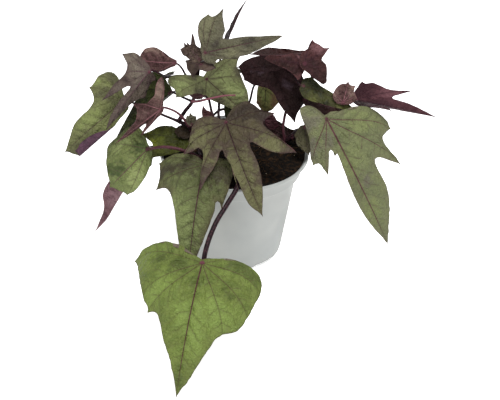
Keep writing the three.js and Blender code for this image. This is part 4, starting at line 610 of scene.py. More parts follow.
# Each vine is a stem that stands in the soil, with the side shoots and leaf stalks that grow from it.
# thick is the radius at a stalk's two ends, and its route is a list of points in millimetres. A young
# stalk is pinker, and blush is how pink its last few millimetres to the leaf are.
VINES = {
    "vine_left": {
        "foot": (-18, -2),
        "stalks": [
            stalk(
                (1.9, 1.6), [(-18, -2, 82), (-18.5, -1.5, 94), (-27, 2, 104), (-37, 4, 111), (-45, 6, 114)],
            ),
            stalk(
                (1.6, 1.2),
                [
                    (-45, 6, 114), (-40, 8, 122), (-34, 10, 130), (-31, 17, 140), (-30, 22, 149),
                    (-29, 17, 160),
                ],
            ),
            stalk((1.1, 0.8), [(-45, 6, 114), (-59, 8, 119), (-76, 10, 125)], "leaf_far_left"),
            stalk((1.1, 0.8), [(-36, 4, 110), (-41, 2, 119), (-47, 0, 126)], "leaf_left_small", young=0.5),
            stalk((1, 0.8), [(-34, 10, 130), (-41, 14, 131)], "leaf_left_dark"),
            stalk(
                (0.9, 0.6), [(-32, 15, 138), (-40, 27, 139), (-50, 36, 139), (-58, 38, 136)],
                "leaf_left_behind",
            ),
            stalk(
                (1, 0.8), [(-32, 15, 138), (-44, 22, 144), (-54, 14, 149), (-60, -1, 160)],
                "leaf_left_fold",
            ),
            stalk((1, 0.7), [(-30, 22, 149), (-38, 16, 149), (-42, 11, 158)], "leaf_left_purple"),
            stalk((0.8, 0.6), [(-29, 17, 160), (-28, 10, 167)], "leaf_crown_curl"),
            stalk((0.8, 0.6), [(-29, 17, 160), (-31, 14, 164)], "leaf_crown_hang"),
            stalk((0.8, 0.6), [(-29, 17, 160), (-25, 8, 166)], "leaf_crown_small"),
            stalk((0.7, 0.5), [(-21, -1, 138), (-23, 0, 140)], "leaf_node_dark"),
            stalk((0.8, 0.6), [(-36, 4, 110), (-36, 1, 113)], "leaf_crown_bud", young=0.4),
            stalk((0.9, 0.6), [(-27, 2, 104), (-31, 4, 105)], "leaf_left_grey"),
            stalk(
                (1.2, 0.5), [(-34, 10, 130), (-29, 3, 134), (-22, -1, 138), (-8, -2, 142), (0, -1, 142)],
                young=0.95,
            ),
        ],
    },
    "vine_middle": {
        "foot": (-6, -4),
        "stalks": [
            stalk((2, 1.6), [(-6, -4, 84), (-6, -4, 95), (-8, -4, 106)]),
            stalk((1.4, 1), [(-6, -4, 97), (-5, -9, 112)], "leaf_front_star"),
            stalk(
                (1.2, 0.9), [(-8, -4, 106), (-17, 2, 120), (-20, 9, 128), (-22, 15, 135)],
                "leaf_upper_middle", young=0.1,
            ),
            stalk(
                (1.2, 0.8),
                [
                    (-8, -4, 106), (-13, 4, 120), (-13, 13, 128), (-16, 20, 148), (-20, 15, 164),
                    (-20, 7, 172),
                ],
                "leaf_top_flag",
            ),
            stalk((0.9, 0.6), [(-16, 20, 148), (-12, 20, 164), (-9, 17, 174)], "leaf_top_sliver"),
            stalk(
                (1.1, 0.8), [(-8, -4, 106), (2, 10, 114), (11, 19, 125), (15, 27, 137), (24, 32, 147)],
                "leaf_upper_dark",
            ),
            stalk((0.9, 0.6), [(15, 27, 137), (19, 37, 142), (26, 42, 142)], "leaf_back_upper"),
            stalk((0.9, 0.6), [(-16, 20, 148), (-17, 31, 149), (-15, 36, 148)], "leaf_back_crown"),
            stalk((0.9, 0.6), [(-8, -4, 106), (-5, 8, 108)], "leaf_middle_dark"),
            stalk((0.8, 0.6), [(-8, -4, 106), (-17, -3, 117)], "leaf_crown_red"),
            stalk(
                (2, 1.9),
                [
                    (-6, -4, 97), (0, -22, 99), (4, -45, 98), (3, -59, 95), (-5, -72, 86), (-12, -83, 79),
                    (-17, -93, 71), (-20, -102, 64),
                ],
                "leaf_front_heart", blush=0.6,
            ),
        ],
    },
    "vine_front": {
        "foot": (-24, -20),
        "stalks": [
            stalk((1.7, 1.4), [(-24, -20, 82), (-24, -20, 94), (-26, -18, 98)]),
            stalk((1.3, 1), [(-24, -20, 94), (-22, -32, 98)], "leaf_front_lower"),
            stalk(
                (1.4, 1.1),
                [
                    (-24, -20, 94), (-32, -20, 99), (-44, -19, 103), (-55, -18, 104), (-64, -15, 101),
                    (-67, -10, 97),
                ],
                "leaf_left_low", young=0.3,
            ),
            stalk((1, 0.7), [(-25, -19, 96), (-28, -10, 95), (-29, -2, 97)], "leaf_left_inner"),
            stalk(
                (1, 0.7),
                [
                    (-24, -20, 94), (-34, -12, 95), (-50, -5, 95), (-59, 3, 95), (-65, 7, 90),
                    (-74, 10, 86), (-86, 10, 76),
                ],
                "leaf_left_low_tip",
            ),
        ],
    },
    "vine_right": {
        "foot": (41, 12),
        "stalks": [
            stalk(
                (1.9, 1.2),
                [
                    (41, 12, 84), (41, 12, 94), (49, 14, 101), (57, 18, 105), (62, 23, 110), (63, 29, 118),
                    (62, 31, 131), (61, 32, 146), (57, 30, 156), (54, 25, 161),
                ],
            ),
            stalk(
                (1.4, 1), [(41, 12, 94), (50, 8, 101), (59, 3, 107), (67, -4, 114), (70, -8, 122)],
                "leaf_right_large",
            ),
            stalk(
                (1.3, 0.9),
                [
                    (41, 12, 94), (39, 13, 106), (40, 17, 114), (43, 28, 124), (41, 36, 134),
                    (33, 37, 140),
                ],
                "leaf_right_back", young=0.35,
            ),
            stalk((0.9, 0.6), [(59, 3, 107), (57, 0, 113)], "leaf_right_rim"),
            stalk((1, 0.7), [(63, 29, 118), (69, 29, 121), (74, 27, 119)], "leaf_right_behind"),
            stalk((0.8, 0.6), [(41, 12, 93), (43, 14, 94)], "leaf_right_inner"),
            stalk((0.8, 0.6), [(39, 13, 106), (36, 16, 106)], "leaf_right_red"),
            stalk((0.9, 0.7), [(63, 29, 118), (60, 23, 125)], "leaf_right_under"),
            stalk((0.9, 0.7), [(54, 25, 161), (49, 20, 157), (47, 13, 150)], "leaf_right_green"),
            stalk(
                (1.1, 0.8), [(62, 31, 131), (74, 27, 129), (85, 15, 136), (90, 5, 142)],
                "leaf_right_purple",
            ),
            stalk((0.8, 0.6), [(87, 11, 139), (87, 1, 141)], "leaf_right_young"),
            stalk((0.9, 0.7), [(54, 25, 161), (52, 20, 162)], "leaf_upper_pink"),
            stalk((0.9, 0.7), [(54, 25, 161), (48, 22, 161), (43, 20, 161)], "leaf_upper_left"),
            stalk((0.9, 0.7), [(54, 25, 161), (58, 27, 165)], "leaf_upper_edge"),
            stalk((0.9, 0.7), [(54, 25, 161), (57, 18, 162)], "leaf_upper_tall"),
        ],
    },
    "vine_back": {
        "foot": (10, 34),
        "stalks": [
            stalk((1.9, 1.4), [(10, 34, 84), (10, 34, 95), (9, 38, 98)]),
            stalk((1.4, 1), [(10, 34, 95), (8, 48, 98), (4, 62, 97), (2, 76, 84)], "leaf_back_middle"),
            stalk((1.3, 0.9), [(10, 34, 95), (2, 50, 99), (-12, 61, 96), (-27, 66, 76)], "leaf_back_left"),
            stalk((1.3, 0.9), [(10, 34, 95), (16, 50, 99), (26, 60, 96), (37, 66, 74)], "leaf_back_right"),
        ],
    },
}

# A finish is one face of a blade. Its screen colours are those of the blade, its shaded patches, its
# lighter parts, its pale spots (partly painted light and sheen), its dark spots (partly painted shade and
# shadow), the wash from the edge inwards, the painted shade along the veins, the veins and the margin.
FACE_SHADES = ("blade", "patch", "light", "pale", "stain_and_shade", "wash", "vein_shade", "vein", "margin")
# beside is how strongly painted shade is laid along the veins.
USUAL_AMOUNTS = {
    "mottling": 0.7, "net": 0.12, "side_veins": 0.5, "main_veins": 0.9, "laterals": 0.8,
    # The stain and pale amounts lay on spots that are partly painted shade and partly painted light.
    "wash_amount": 0.5, "stain_and_shade_amount": 0.85, "pale_and_lit_amount": 0.8, "beside": 0.35, "edge": 0.4,
    "knot": "4c2630", "knot_amount": 0.45, "roughness": 0.55, "gloss": 0.15,
}


def face_look(shades, **amounts):
    """The colours of a finish by name, and how strongly each is laid over the others."""
    return {**USUAL_AMOUNTS, **dict(zip(FACE_SHADES, shades.split())), **amounts}


LOOKS = {
    "bright_green": face_look(
        "5c6831 485525 697939 6b7c3d 424c23 52572f 4a5526 3e1b24 4b3731",
        wash_amount=0.3, knot="3f1723", knot_amount=0.85, laterals=0.6, side_veins=0.4,
    ),
    "shaded_green": face_look(
        "505634 3d4125 616840 687245 2f2a1f 3e3626 3f4326 341821 381f2c",
        wash_amount=0.75, beside=0.5, side_veins=0.6,
    ),
    "sage_green": face_look(
        "5d6243 4f5439 686e47 676e45 575447 5a5743 4e5237 441c29 473634", side_veins=0.5, mottling=0.4,
    ),
    "middle_green": face_look(
        "6f734d 5a5c3e 808859 858f5c 454033 5f5d43 5b5d3f 3c2726 493b31", side_veins=0.8, beside=0.45,
    ),
    "flag_green": face_look(
        "4c4b39 3f3c2e 585641 5e5d45 2b2621 464236 403d2e 351b22 433532", side_veins=0.5, mottling=0.35,
    ),
    "pale_green": face_look(
        "616a3e 4b562e 737c49 7c8654 333e1e 565f38 4c572f 4a2833 483f2f", side_veins=0.5,
    ),
    "moss_green": face_look(
        "5c5f3c 494c2e 6a7142 6c7544 43422d 535437 4a4d2e 45392e 443b2d", side_veins=0.4,
    ),
    "dark_green": face_look(
        "303514 1f260c 3b451a 515427 1b1c0a 2d2d12 22290e 1e1b12 291f15", side_veins=0.3,
    ),
    "deep_green": face_look(
        "383c0f 282a0a 4b5215 5a5f18 222407 302f0f 2a2e0a 262413 302519", side_veins=0.3,
    ),
    "grass_green": face_look(
        "37381a 282913 454821 54562c 181c10 2d2c16 292a13 32271d 3d2d26", side_veins=0.3,
    ),
    "grey_green": face_look(
        "45442e 383425 55553f 625f44 322b23 423b2d 393625 34282b 3a2c26", side_veins=0.3,
    ),
    "olive_green": face_look(
        "81844d 676a41 9aa05f 9faa67 7b5d49 82674d 696b42 3e3224 815345", wash_amount=0.6,
    ),
    "olive_brown": face_look(
        "40382a 322b21 4d4832 585839 251d18 3a2f29 352f22 260f17 462d33",
        side_veins=0.75, wash_amount=0.75, laterals=1,
    ),
    "bark_brown": face_look("20180c 161007 2e2311 372a17 130d06 1f150c 171107 1a1210 3a2b28"),
    "mauve_grey": face_look(
        "51463f 413832 5c5447 61594e 2f2122 413431 413933 412830 331f26", wash_amount=0.7,
    ),
    "dull_mauve": face_look(
        "4a3d33 352b24 5e5044 685b4b 261e1b 3a2e29 382e27 412830 331f26", wash_amount=0.7,
    ),
    "maroon": face_look(
        "432a2d 321b20 53353a 5d3f43 29161b 3b2127 341f22 25101a 351a24",
        main_veins=0.6, side_veins=0.4, gloss=0.06,
    ),
    "wine": face_look(
        "402627 2b1b1c 593b3e 66484a 241816 37231f 301d1f 27101a 5a3a3c",
        main_veins=0.5, side_veins=0.4, gloss=0.06,
    ),
    # The pale colour of this finish is a painted sheen, laid on through its pale spots.
    "near_black": face_look(
        "251a18 1d1011 352325 483b42 1a100f 2d1c1e 1f1212 120a0d 42222c",
        main_veins=0.5, side_veins=0.4, gloss=0.06,
    ),
    "dusty_purple": face_look(
        "4a3734 382726 5f4c47 705e55 31201f 46332f 3b2928 83595f 6b474b",
        main_veins=0.6, side_veins=0.35, gloss=0.06,
    ),
    "faded_purple": face_look(
        "6a4e52 583c41 775b61 816569 4b3036 67484c 583d42 5e3f47 8c6f73", main_veins=0.55, side_veins=0.25,
    ),
    "violet": face_look(
        "49303e 35222e 5e4452 694e5d 2e1d27 402935 382430 371b2d 432538", main_veins=0.5,
    ),
    "under_green": face_look(
        "5e6049 4d4e3b 6e7057 75775e 494237 5b5445 4d4e3c 552d38 53333b", main_veins=1,
    ),
    "under_dark": face_look("25120e 190a08 331816 3d201d 160706 26120e 1b0b09 4f3339 3e282d"),
}


# --- The flat leaf and its veins ---


def spoke_line(angle):
    """The flat direction from a leaf's joint at an angle from its midrib."""
    return Vector((math.sin(math.radians(angle)), math.cos(math.radians(angle))))


def flat_outline(leaf):
    """The flat edge as points: smooth at plain points and drawn out along the lobe at tips."""
    keys = sorted(leaf["outline"], key=lambda key: key[0])
    flat = [spoke_line(key[0]) * key[1] for key in keys]
    count = len(keys)

    def direction(i, leaving):
        before, after = flat[i - 1], flat[(i + 1) % count]
        if len(keys[i]) == 2:
            return (after - before).normalized()
        chord = (after - flat[i]) if leaving else (flat[i] - before)
        lobe = flat[i].normalized() * (-1 if leaving else 1)
        return (chord.normalized() + lobe).normalized()

    points = []
    for i in range(count):
        j = (i + 1) % count
        span = (flat[j] - flat[i]).length
        start, end = direction(i, True) * span, direction(j, False) * span
        steps = max(1, round(span / SPOKE_STEP))
        for k in range(steps):
            t = k / steps
            points.append(
                flat[i] * (2 * t**3 - 3 * t**2 + 1)
                + start * (t**3 - 2 * t**2 + t)
                + flat[j] * (3 * t**2 - 2 * t**3)
                + end * (t**3 - t**2)
            )
    spots = [(point.x / 4, point.y / 4, leaf["length"]) for point in points]
    return [point * (1 - EDGE_RIPPLE * (0.5 + noise.noise(spot))) for point, spot in zip(points, spots)]


def main_veins(leaf, edge):
    """The angle and reach of each main vein: one to a tip, and one where a rounded side has none."""
    angles = [key[0] for key in leaf["outline"] if len(key) == 3 and abs(key[0]) < VEIN_REACH]
    for usual in leaf["veins"]:
        if all(abs(angle - usual) > VEIN_APART for angle in angles):
            angles.append(usual)
    veins = []
    for angle in angles:
        turn = math.radians(angle)
        spoke = min(edge, key=lambda point: abs(math.atan2(point.x, point.y) - turn))
        if spoke.length > 0.25 * leaf["length"]:
            veins.append((math.atan2(spoke.x, spoke.y), spoke.length))
    return veins


def smooth(value, low, high):
    """A share from 0 to 1 that eases in and out between two values."""
    share = min(1, max(0, (value - low) / (high - low)))
    return share * share * (3 - 2 * share)


def vein_facts(point, veins, leaf):
    """How a point of the flat leaf lies to its nearest main vein, and on the side veins from it."""
    turn, reach = math.atan2(point.x, point.y), point.length
    angle, vein_reach = min(veins, key=lambda vein: abs(turn - vein[0]))
    side = math.copysign(1, turn - angle)
    apart = min(abs(turn - angle), math.pi / 2)
    along, off = reach * math.cos(apart), reach * math.sin(apart)
    full = 0.66 if abs(angle) < 0.12 else 0.4
    half_width = full * (0.35 + leaf["length"] / 150) * (1 - 0.7 * min(1, along / vein_reach))
    spacing = 4.4 + leaf["length"] / 16
    phase = (along - 0.8 * off - 0.01 * off * off) / spacing + 0.15 * side * smooth(off, 0, 9)
    beyond = min((abs(vein[0] - angle) for vein in veins if (vein[0] - angle) * side > 0), default=math.tau)
    web = smooth(along, 3, 12) * (1 - smooth(2 * apart / beyond, 0.65, 1))
    return off, off / half_width, phase, web


# --- The bent blade ---


def leaf_axes(leaf):
    """The midrib's direction, the direction across the blade and the one out of its upper face."""
    heading, pitch, roll = (math.radians(angle) for angle in leaf["turn"])
    level = Vector((math.sin(heading), -math.cos(heading), 0))
    forward = Vector((math.cos(heading), math.sin(heading), 0))
    along = forward * math.cos(pitch) + Vector((0, 0, math.sin(pitch)))
    up = level.cross(along)
    across = level * math.cos(roll) - up * math.sin(roll)
    out = up * math.cos(roll) + level * math.sin(roll)
    return along, across, out


def bent(width, side):
    """How far a point lies sideways and outwards once its side is bent by its arcs."""
    slope, rest, sideways, outwards = math.radians(side[0]), width, 0, 0
    for length, turn in side[1:]:
        stretch = min(rest, length)
        following = slope + math.radians(turn) * stretch / length
        middle, half = (slope + following) / 2, (following - slope) / 2
        chord = stretch * math.sin(half) / half if half else stretch
        sideways += chord * math.cos(middle)
        outwards += chord * math.sin(middle)
        slope = following
        rest -= stretch
    return sideways + rest * math.cos(slope), outwards + rest * math.sin(slope)


def blade_folder(leaf):
    """A function that takes a point of the flat leaf, lifted off it, to its place on the plant."""
    along, across, out = leaf_axes(leaf)
    arch = math.radians(leaf["arch"])
    radius = leaf["length"] / arch
    joint = Vector(leaf["joint"])

    def place(x, y, lift):
        angle = arch * (y / leaf["length"] - 0.5)
        sideways, outwards = bent(abs(x), leaf["left"] if x < 0 else leaf["right"])
        outward = out * math.cos(angle) + along * math.sin(angle)
        return (
            joint
            + along * radius * (math.sin(angle) + math.sin(arch / 2))
            + out * radius * (math.cos(angle) - math.cos(arch / 2))
            + across * math.copysign(sideways, x)
            + outward * (outwards + lift)
        ) * MM

    return place


def blade_relief(point, share, facts, leaf, look):
    """The height of a point of the blade over its bent surface, in millimetres."""
    off, _, phase, web = facts
    height, waves = leaf["wave"]
    wave = height * share**2 * math.sin(waves * math.atan2(point.x, point.y))
    groove = look.groove * math.exp(-((off / GROOVE_WIDTH) ** 2)) * (1 - 0.6 * share)
    pillow = look.quilting * (1 - math.exp(-((off / PILLOW_WIDTH) ** 2)))
    pillow = pillow * (0.5 - 0.5 * math.cos(math.tau * phase))
    spot = Vector((point.x, point.y, leaf["length"])) / UNEVEN_LENGTH
    uneven = UNEVEN_HEIGHT * share * noise.noise(spot)
    return wave - groove + pillow * web * (1 - share**4) + uneven


def blot(point, line, reach, size):
    """How strongly a point lies in a dark spot drawn out along a line, or below zero in a pale spot.
    Dark spots are partly real staining and partly painted shade, pale ones partly painted light.
    """
    along = (point.dot(line) - reach) / (1.4 * size)
    off = point.cross(line) / (0.8 * size)
    return math.copysign(math.exp(-(along * along) - off * off), size)


def build_blade(leaf, look):
    """A blade: one row of points spun to a disc, drawn out to the leaf's edge and bent."""
    edge = flat_outline(leaf)
    veins = main_veins(leaf, edge)
    count = len(edge)
    rings = max(7, round(leaf["length"] / RING_STEP))
    bm = bmesh.new()
    marks = [bm.verts.layers.float.new(name) for name in ("rib", "phase", "web", "margin", "stain_and_shade")]
    flat_mark = bm.verts.layers.float_vector.new("flat")
    row = [bm.verts.new((0, ring / rings, 0)) for ring in range(rings + 1)]
    spin_row(bm, row, count, 1e-5)
    bm.normal_update()
    if next(iter(bm.faces)).normal.z < 0:
        bmesh.ops.reverse_faces(bm, faces=bm.faces)

    border = kdtree.KDTree(2 * count)
    for i, point in enumerate(edge):
        border.insert(point.to_3d(), 2 * i)
        border.insert(((point + edge[(i + 1) % count]) / 2).to_3d(), 2 * i + 1)
    border.balance()
    stains_and_shades = [(spoke_line(angle), reach, size) for angle, reach, size in leaf["stains_and_shades"]]
    place = blade_folder(leaf)
    for vert in bm.verts:
        share = vert.co.length
        spoke = round(math.atan2(vert.co.x, vert.co.y) / math.tau * count) % count
        point = edge[spoke] * share
        facts = vein_facts(point, veins, leaf)
        # Dark spots mark real staining and painted shade and shadow, pale ones paler tone and painted light.
        blots = [blot(point, *spot) for spot in stains_and_shades]
        stain_and_shade = max([0, *blots]) + min([0, *blots])
        margin = border.find(point.to_3d())[2]
        for mark, value in zip(marks, (*facts[1:], margin, stain_and_shade)):
            vert[mark] = value
        vert[flat_mark] = (point.x, point.y, leaf["length"])
        lift = blade_relief(point, share, facts, leaf, look)
        bow = SPOKE_BOW * math.sin(math.atan2(point.x, point.y)) * share * (1 - share)
        bowed = Matrix.Rotation(-bow, 2) @ point
        vert.co = place(bowed.x, bowed.y, lift)
    return bm


# --- Meshes and their objects ---


def finished_piece(name, bm, materials, sharp=40):
    """An object at the origin from a bmesh in metres, smooth but for edges over the sharp angle."""
    mesh = bpy.data.meshes.new(name)
    bm.to_mesh(mesh)
    bm.free()
    mesh.shade_smooth()
    mesh.set_sharp_from_angle(angle=math.radians(sharp))
    for material in materials:
        mesh.materials.append(material)
    piece = bpy.data.objects.new(name, mesh)
    bpy.context.scene.collection.objects.link(piece)
    return piece


def ride_on_root(piece, slot, *nodes):
    """Fasten a piece to the plant and let it stand for its solids. The slot is not used."""
    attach(piece, "root")
    if nodes:
        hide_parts(*nodes)


def spin_row(bm, row, steps, merge):
    """Spin a row of vertices once round Z, and join what meets."""
    chain = [bm.edges.new(pair) for pair in zip(row, row[1:])]
    bmesh.ops.spin(
        bm, geom=row + chain, cent=(0, 0, 0), axis=(0, 0, 1), angle=math.tau, steps=steps, use_merge=True
    )
    bmesh.ops.remove_doubles(bm, verts=bm.verts, dist=merge)


def turned(profile, steps):
    """A closed body from a profile of (radius, height) spun round Z, in millimetres."""
    bm = bmesh.new()
    row = [bm.verts.new((radius * MM, 0, height * MM)) for radius, height in profile]
    spin_row(bm, row, steps, 1e-6)
    bmesh.ops.recalc_face_normals(bm, faces=bm.faces)
    return bm


def mixed(first, last, start, end, t):
    """The point that a straight run between two points has reached at a time."""
    return first * ((end - t) / (end - start)) + last * ((t - start) / (end - start))


def smooth_path(route):
    """Points a short step apart along a centripetal curve through a route's points."""
    points = [Vector(point) for point in route]
    points = [points[0] * 2 - points[1]] + points + [points[-1] * 2 - points[-2]]
    path = []
    for a, b, c, d in zip(points, points[1:], points[2:], points[3:]):
        ta = 0
        tb = ta + max((b - a).length, 1e-4) ** 0.5
        tc = tb + max((c - b).length, 1e-4) ** 0.5
        td = tc + max((d - c).length, 1e-4) ** 0.5
        steps = max(2, math.ceil((c - b).length / STALK_STEP))
        for k in range(steps):
            t = tb + (tc - tb) * k / steps
            ab, bc, cd = mixed(a, b, ta, tb, t), mixed(b, c, tb, tc, t), mixed(c, d, tc, td, t)
            abc, bcd = mixed(ab, bc, ta, tc, t), mixed(bc, cd, tb, td, t)
            path.append(mixed(abc, bcd, tb, tc, t))
    path.append(points[-2])
    return path


def grow_tube(bm, path, radii, sides, mark=None, shades=()):
    """Extrude a round section along a path in millimetres, and close both ends."""
    forward = (path[1] - path[0]).normalized()
    turn = Vector((0, 0, 1)).rotation_difference(forward)
    spot = Matrix.LocRotScale(path[0] * MM, turn, Vector((radii[0] * MM,) * 3))
    ring = bmesh.ops.create_circle(bm, cap_ends=True, radius=1, segments=sides, matrix=spot)["verts"]
    edges = list({edge for vert in ring for edge in vert.link_edges})
    verts = list(ring)
    for i in range(1, len(path)):
        following = (path[min(i + 1, len(path) - 1)] - path[i - 1]).normalized()
        turn = forward.rotation_difference(following) @ turn
        forward = following
        new_spot = Matrix.LocRotScale(path[i] * MM, turn, Vector((radii[i] * MM,) * 3))
        grown = bmesh.ops.extrude_edge_only(bm, edges=edges)["geom"]
        ring = [item for item in grown if isinstance(item, bmesh.types.BMVert)]
        ring_set = set(ring)
        edges = [
            item for item in grown if isinstance(item, bmesh.types.BMEdge) and set(item.verts) <= ring_set
        ]
        bmesh.ops.transform(bm, matrix=new_spot @ spot.inverted(), verts=ring)
        spot = new_spot
        verts += ring
    bmesh.ops.contextual_create(bm, geom=edges)
    for i, shade in enumerate(shades):
        for vert in verts[i * sides : (i + 1) * sides]:
            vert[mark] = shade


def stalk_end(leaf, before, radius):
    """The last points of a stalk: just off its leaf's joint, then into the base of the midrib."""
    along, _, out = leaf_axes(leaf)
    joint = Vector(leaf["joint"])
    side = math.copysign(1, (Vector(before) - joint).dot(out))
    off = joint - along * NECK_START + out * side * (radius + NECK)
    inside = joint + along * NECK_END + out * side * 0.25
    return [off, inside]


def stalk_radii(path, thick, swells):
    """Radii along a stalk: an even taper, with a swelling at its start and at its leaf."""
    length = sum((b - a).length for a, b in zip(path, path[1:]))
    run, radii = 0, []
    for i, point in enumerate(path):
        run += (point - path[i - 1]).length if i else 0
        share = run / length
        radius = thick[0] + (thick[1] - thick[0]) * share
        radius *= 1 + swells * START_SWELL * math.exp(-((run / SWELL_LENGTH) ** 2))
        radius *= 1 + swells * LEAF_SWELL * math.exp(-(((length - run) / SWELL_LENGTH) ** 2))
        radii.append(radius)
    return radii


def stalk_shades(path, young, blush):
    """How young each point of a stalk looks: it blushes over its last few millimetres to a leaf."""
    shares = [(point - path[-1]).length / BLUSH_LENGTH for point in path]
    return [max(young, blush * math.exp(-(share**2))) for share in shares]


# --- Pot and soil ---


def arc(radius, height, around, start, end, steps):
    """Points of a rounded edge: a circle of a size around a middle, between two angles."""
    turns = [math.radians(start + (end - start) * i / steps) for i in range(steps + 1)]
    return [(radius + around * math.cos(turn), height + around * math.sin(turn)) for turn in turns]


def pot_profile():
    """The pot's section from the axis under the base, up the outside and down the inside."""
    shoulder = RIM_HEIGHT - COLLAR_DEPTH
    return [
        (0, 0.9),
        (BASE_RADIUS - 13, 0.9),
        (BASE_RADIUS - 12, 0),
        *arc(BASE_RADIUS - BASE_ROUND, BASE_ROUND, BASE_ROUND, -90, 0, 8),
        *[
            (BASE_RADIUS + 0.2 + (SHOULDER_RADIUS - BASE_RADIUS - 0.2) * i / 10,
             BASE_ROUND + 0.6 + (shoulder - 1.6 - BASE_ROUND) * i / 10)
            for i in range(11)
        ],
        (SHOULDER_RADIUS + 0.2, shoulder - 0.5),
        *arc(COLLAR_RADIUS - 1.9, shoulder + 0.9, 0.9, -90, 0, 5),
        (COLLAR_RADIUS - 0.5, shoulder + 5),
        (COLLAR_RADIUS - 0.1, RIM_HEIGHT - LIP_DEPTH - 0.7),
        (COLLAR_RADIUS + 0.4, RIM_HEIGHT - LIP_DEPTH + 0.1),
        (RIM_RADIUS - 1.5, RIM_HEIGHT - 3.1),
        *arc(RIM_RADIUS - 0.9, RIM_HEIGHT - 1.7, 0.9, -60, 10, 5),
        *arc(RIM_RADIUS - 1.1, RIM_HEIGHT - 0.7, 0.7, 30, 150, 6),
        (RIM_RADIUS - 2.2, RIM_HEIGHT - 1.4),
        (COLLAR_RADIUS - WALL, RIM_HEIGHT - LIP_DEPTH + 0.9),
        (COLLAR_RADIUS - 1 - WALL, shoulder + 1.6),
        (SHOULDER_RADIUS - WALL, shoulder + 0.4),
        (BASE_RADIUS - WALL, BASE_ROUND + 1.4),
        (BASE_RADIUS - WALL - 2, FLOOR),
        (0, FLOOR),
    ]


def lift_foot(vert):
    """Raise the outer part of the base where a foot notch is moulded in."""
    x, y, z = vert.co / MM
    radius, turn = math.hypot(x, y), math.degrees(math.atan2(y, x)) + 90 - NOTCH_TURN
    if z > NOTCH_HEIGHT or radius < BASE_RADIUS - NOTCH_DEPTH:
        return
    pitch = 360 / FOOT_NOTCHES
    off = abs((turn + pitch / 2) % pitch - pitch / 2)
    half = math.degrees(NOTCH_WIDTH / 2 / BASE_RADIUS)
    share = 1 - smooth(off, half - 1.6, half + 0.4)
    inward = smooth(radius, BASE_RADIUS - NOTCH_DEPTH, BASE_RADIUS - NOTCH_DEPTH + 1.5)
    vert.co.z += (NOTCH_HEIGHT - z) * share * inward * MM


def soil_height(x, y):
    """The height of the peat at a place, in millimetres."""
    share = min(1, math.hypot(x, y) / SOIL_BRIM)
    height = SOIL_EDGE + (SOIL_MIDDLE - SOIL_EDGE) * (1 - share**2)
    lump = SOIL_LUMP * (math.sin(x / 5) * math.cos(y / 6) + 0.5 * math.sin((x + y) / 3))
    crumb = 0.9 * noise.noise((x / 3.1, y / 3.1, 5)) + 0.5 * noise.noise((x / 1.3, y / 1.3, 9))
    return height + (lump + crumb) * (1 - smooth(share, 0.94, 1)) - 0.3 * share**8


def soil_profile():
    """The peat's section: down in the pot, up along its wall and in rings to the middle."""
    inside = BASE_RADIUS - WALL - SOIL_GAP
    shoulder = RIM_HEIGHT - COLLAR_DEPTH
    return [
        (0, FLOOR + SOIL_GAP),
        (inside - 2, FLOOR + SOIL_GAP),
        (inside, BASE_ROUND + 1.6),
        (SHOULDER_RADIUS - WALL - SOIL_GAP, shoulder + 0.6),
        (COLLAR_RADIUS - 1 - WALL - SOIL_GAP, shoulder + 2),
        (COLLAR_RADIUS - WALL - SOIL_GAP, RIM_HEIGHT - LIP_DEPTH + 1.1),
        *[(SOIL_BRIM * ring / SOIL_RINGS, SOIL_EDGE) for ring in range(SOIL_RINGS, -1, -1)],
    ]


def soil_spot(draw, reach=0.95):
    """A random place on the peat."""
    radius = SOIL_BRIM * reach * math.sqrt(draw.random())
    turn = draw.uniform(0, math.tau)
    x, y = radius * math.cos(turn), radius * math.sin(turn)
    return Vector((x, y, soil_height(x, y)))


def any_way(draw, reach):
    """A random vector with each part between minus and plus a reach."""
    return Vector([draw.uniform(-reach, reach) for _ in range(3)])


def scattered(draw, count, rounds, longest):
    """Angular crumbs of random size and turn, half sunk in the peat."""
    bm = bmesh.new()
    for _ in range(count):
        length = longest * draw.uniform(0.35, 1) / 2
        spot = soil_spot(draw)
        turn = Matrix.Rotation(draw.uniform(0, math.tau), 4, any_way(draw, 1))
        shape = Matrix.Diagonal((length, length * draw.uniform(0.5, 0.9), length * draw.uniform(0.4, 0.8), 1))
        spot_matrix = Matrix.Scale(MM, 4) @ Matrix.Translation(spot) @ turn @ shape
        made = bmesh.ops.create_icosphere(bm, subdivisions=rounds, radius=1, matrix=spot_matrix)
        for vert in made["verts"]:
            vert.co += any_way(draw, CRUMB_DENT) * length * MM
    return bm


def fibres(draw, count):
    """Thin bent shreds of bark lying on the peat."""
    bm = bmesh.new()
    for _ in range(count):
        start, turn = soil_spot(draw, 0.86), draw.uniform(0, math.tau)
        length, curl = draw.uniform(3, 9), draw.uniform(-1.2, 1.2)
        path = []
        for i in range(5):
            heading = turn + curl * i / 4
            x = start.x + length * i / 4 * math.cos(heading)
            y = start.y + length * i / 4 * math.sin(heading)
            if math.hypot(x, y) > RIM_RADIUS - 5:
                break
            path.append(Vector((x, y, soil_height(x, y) + 0.25 + 0.5 * math.sin(math.pi * i / 4))))
        if len(path) > 2:
            thick = draw.uniform(0.16, 0.34)
            grow_tube(bm, path, [thick * (1 - 0.4 * i / 4) for i in range(len(path))], FIBRE_SIDES)
    bmesh.ops.recalc_face_normals(bm, faces=bm.faces)
    return bm


# --- Materials ---


def linear(code):
    """A screen colour such as 7d9455 as a scene colour."""
    parts = [int(code[i : i + 2], 16) / 255 for i in (0, 2, 4)]
    return [part / 12.92 if part <= 0.04045 else ((part + 0.055) / 1.055) ** 2.4 for part in parts] + [1]


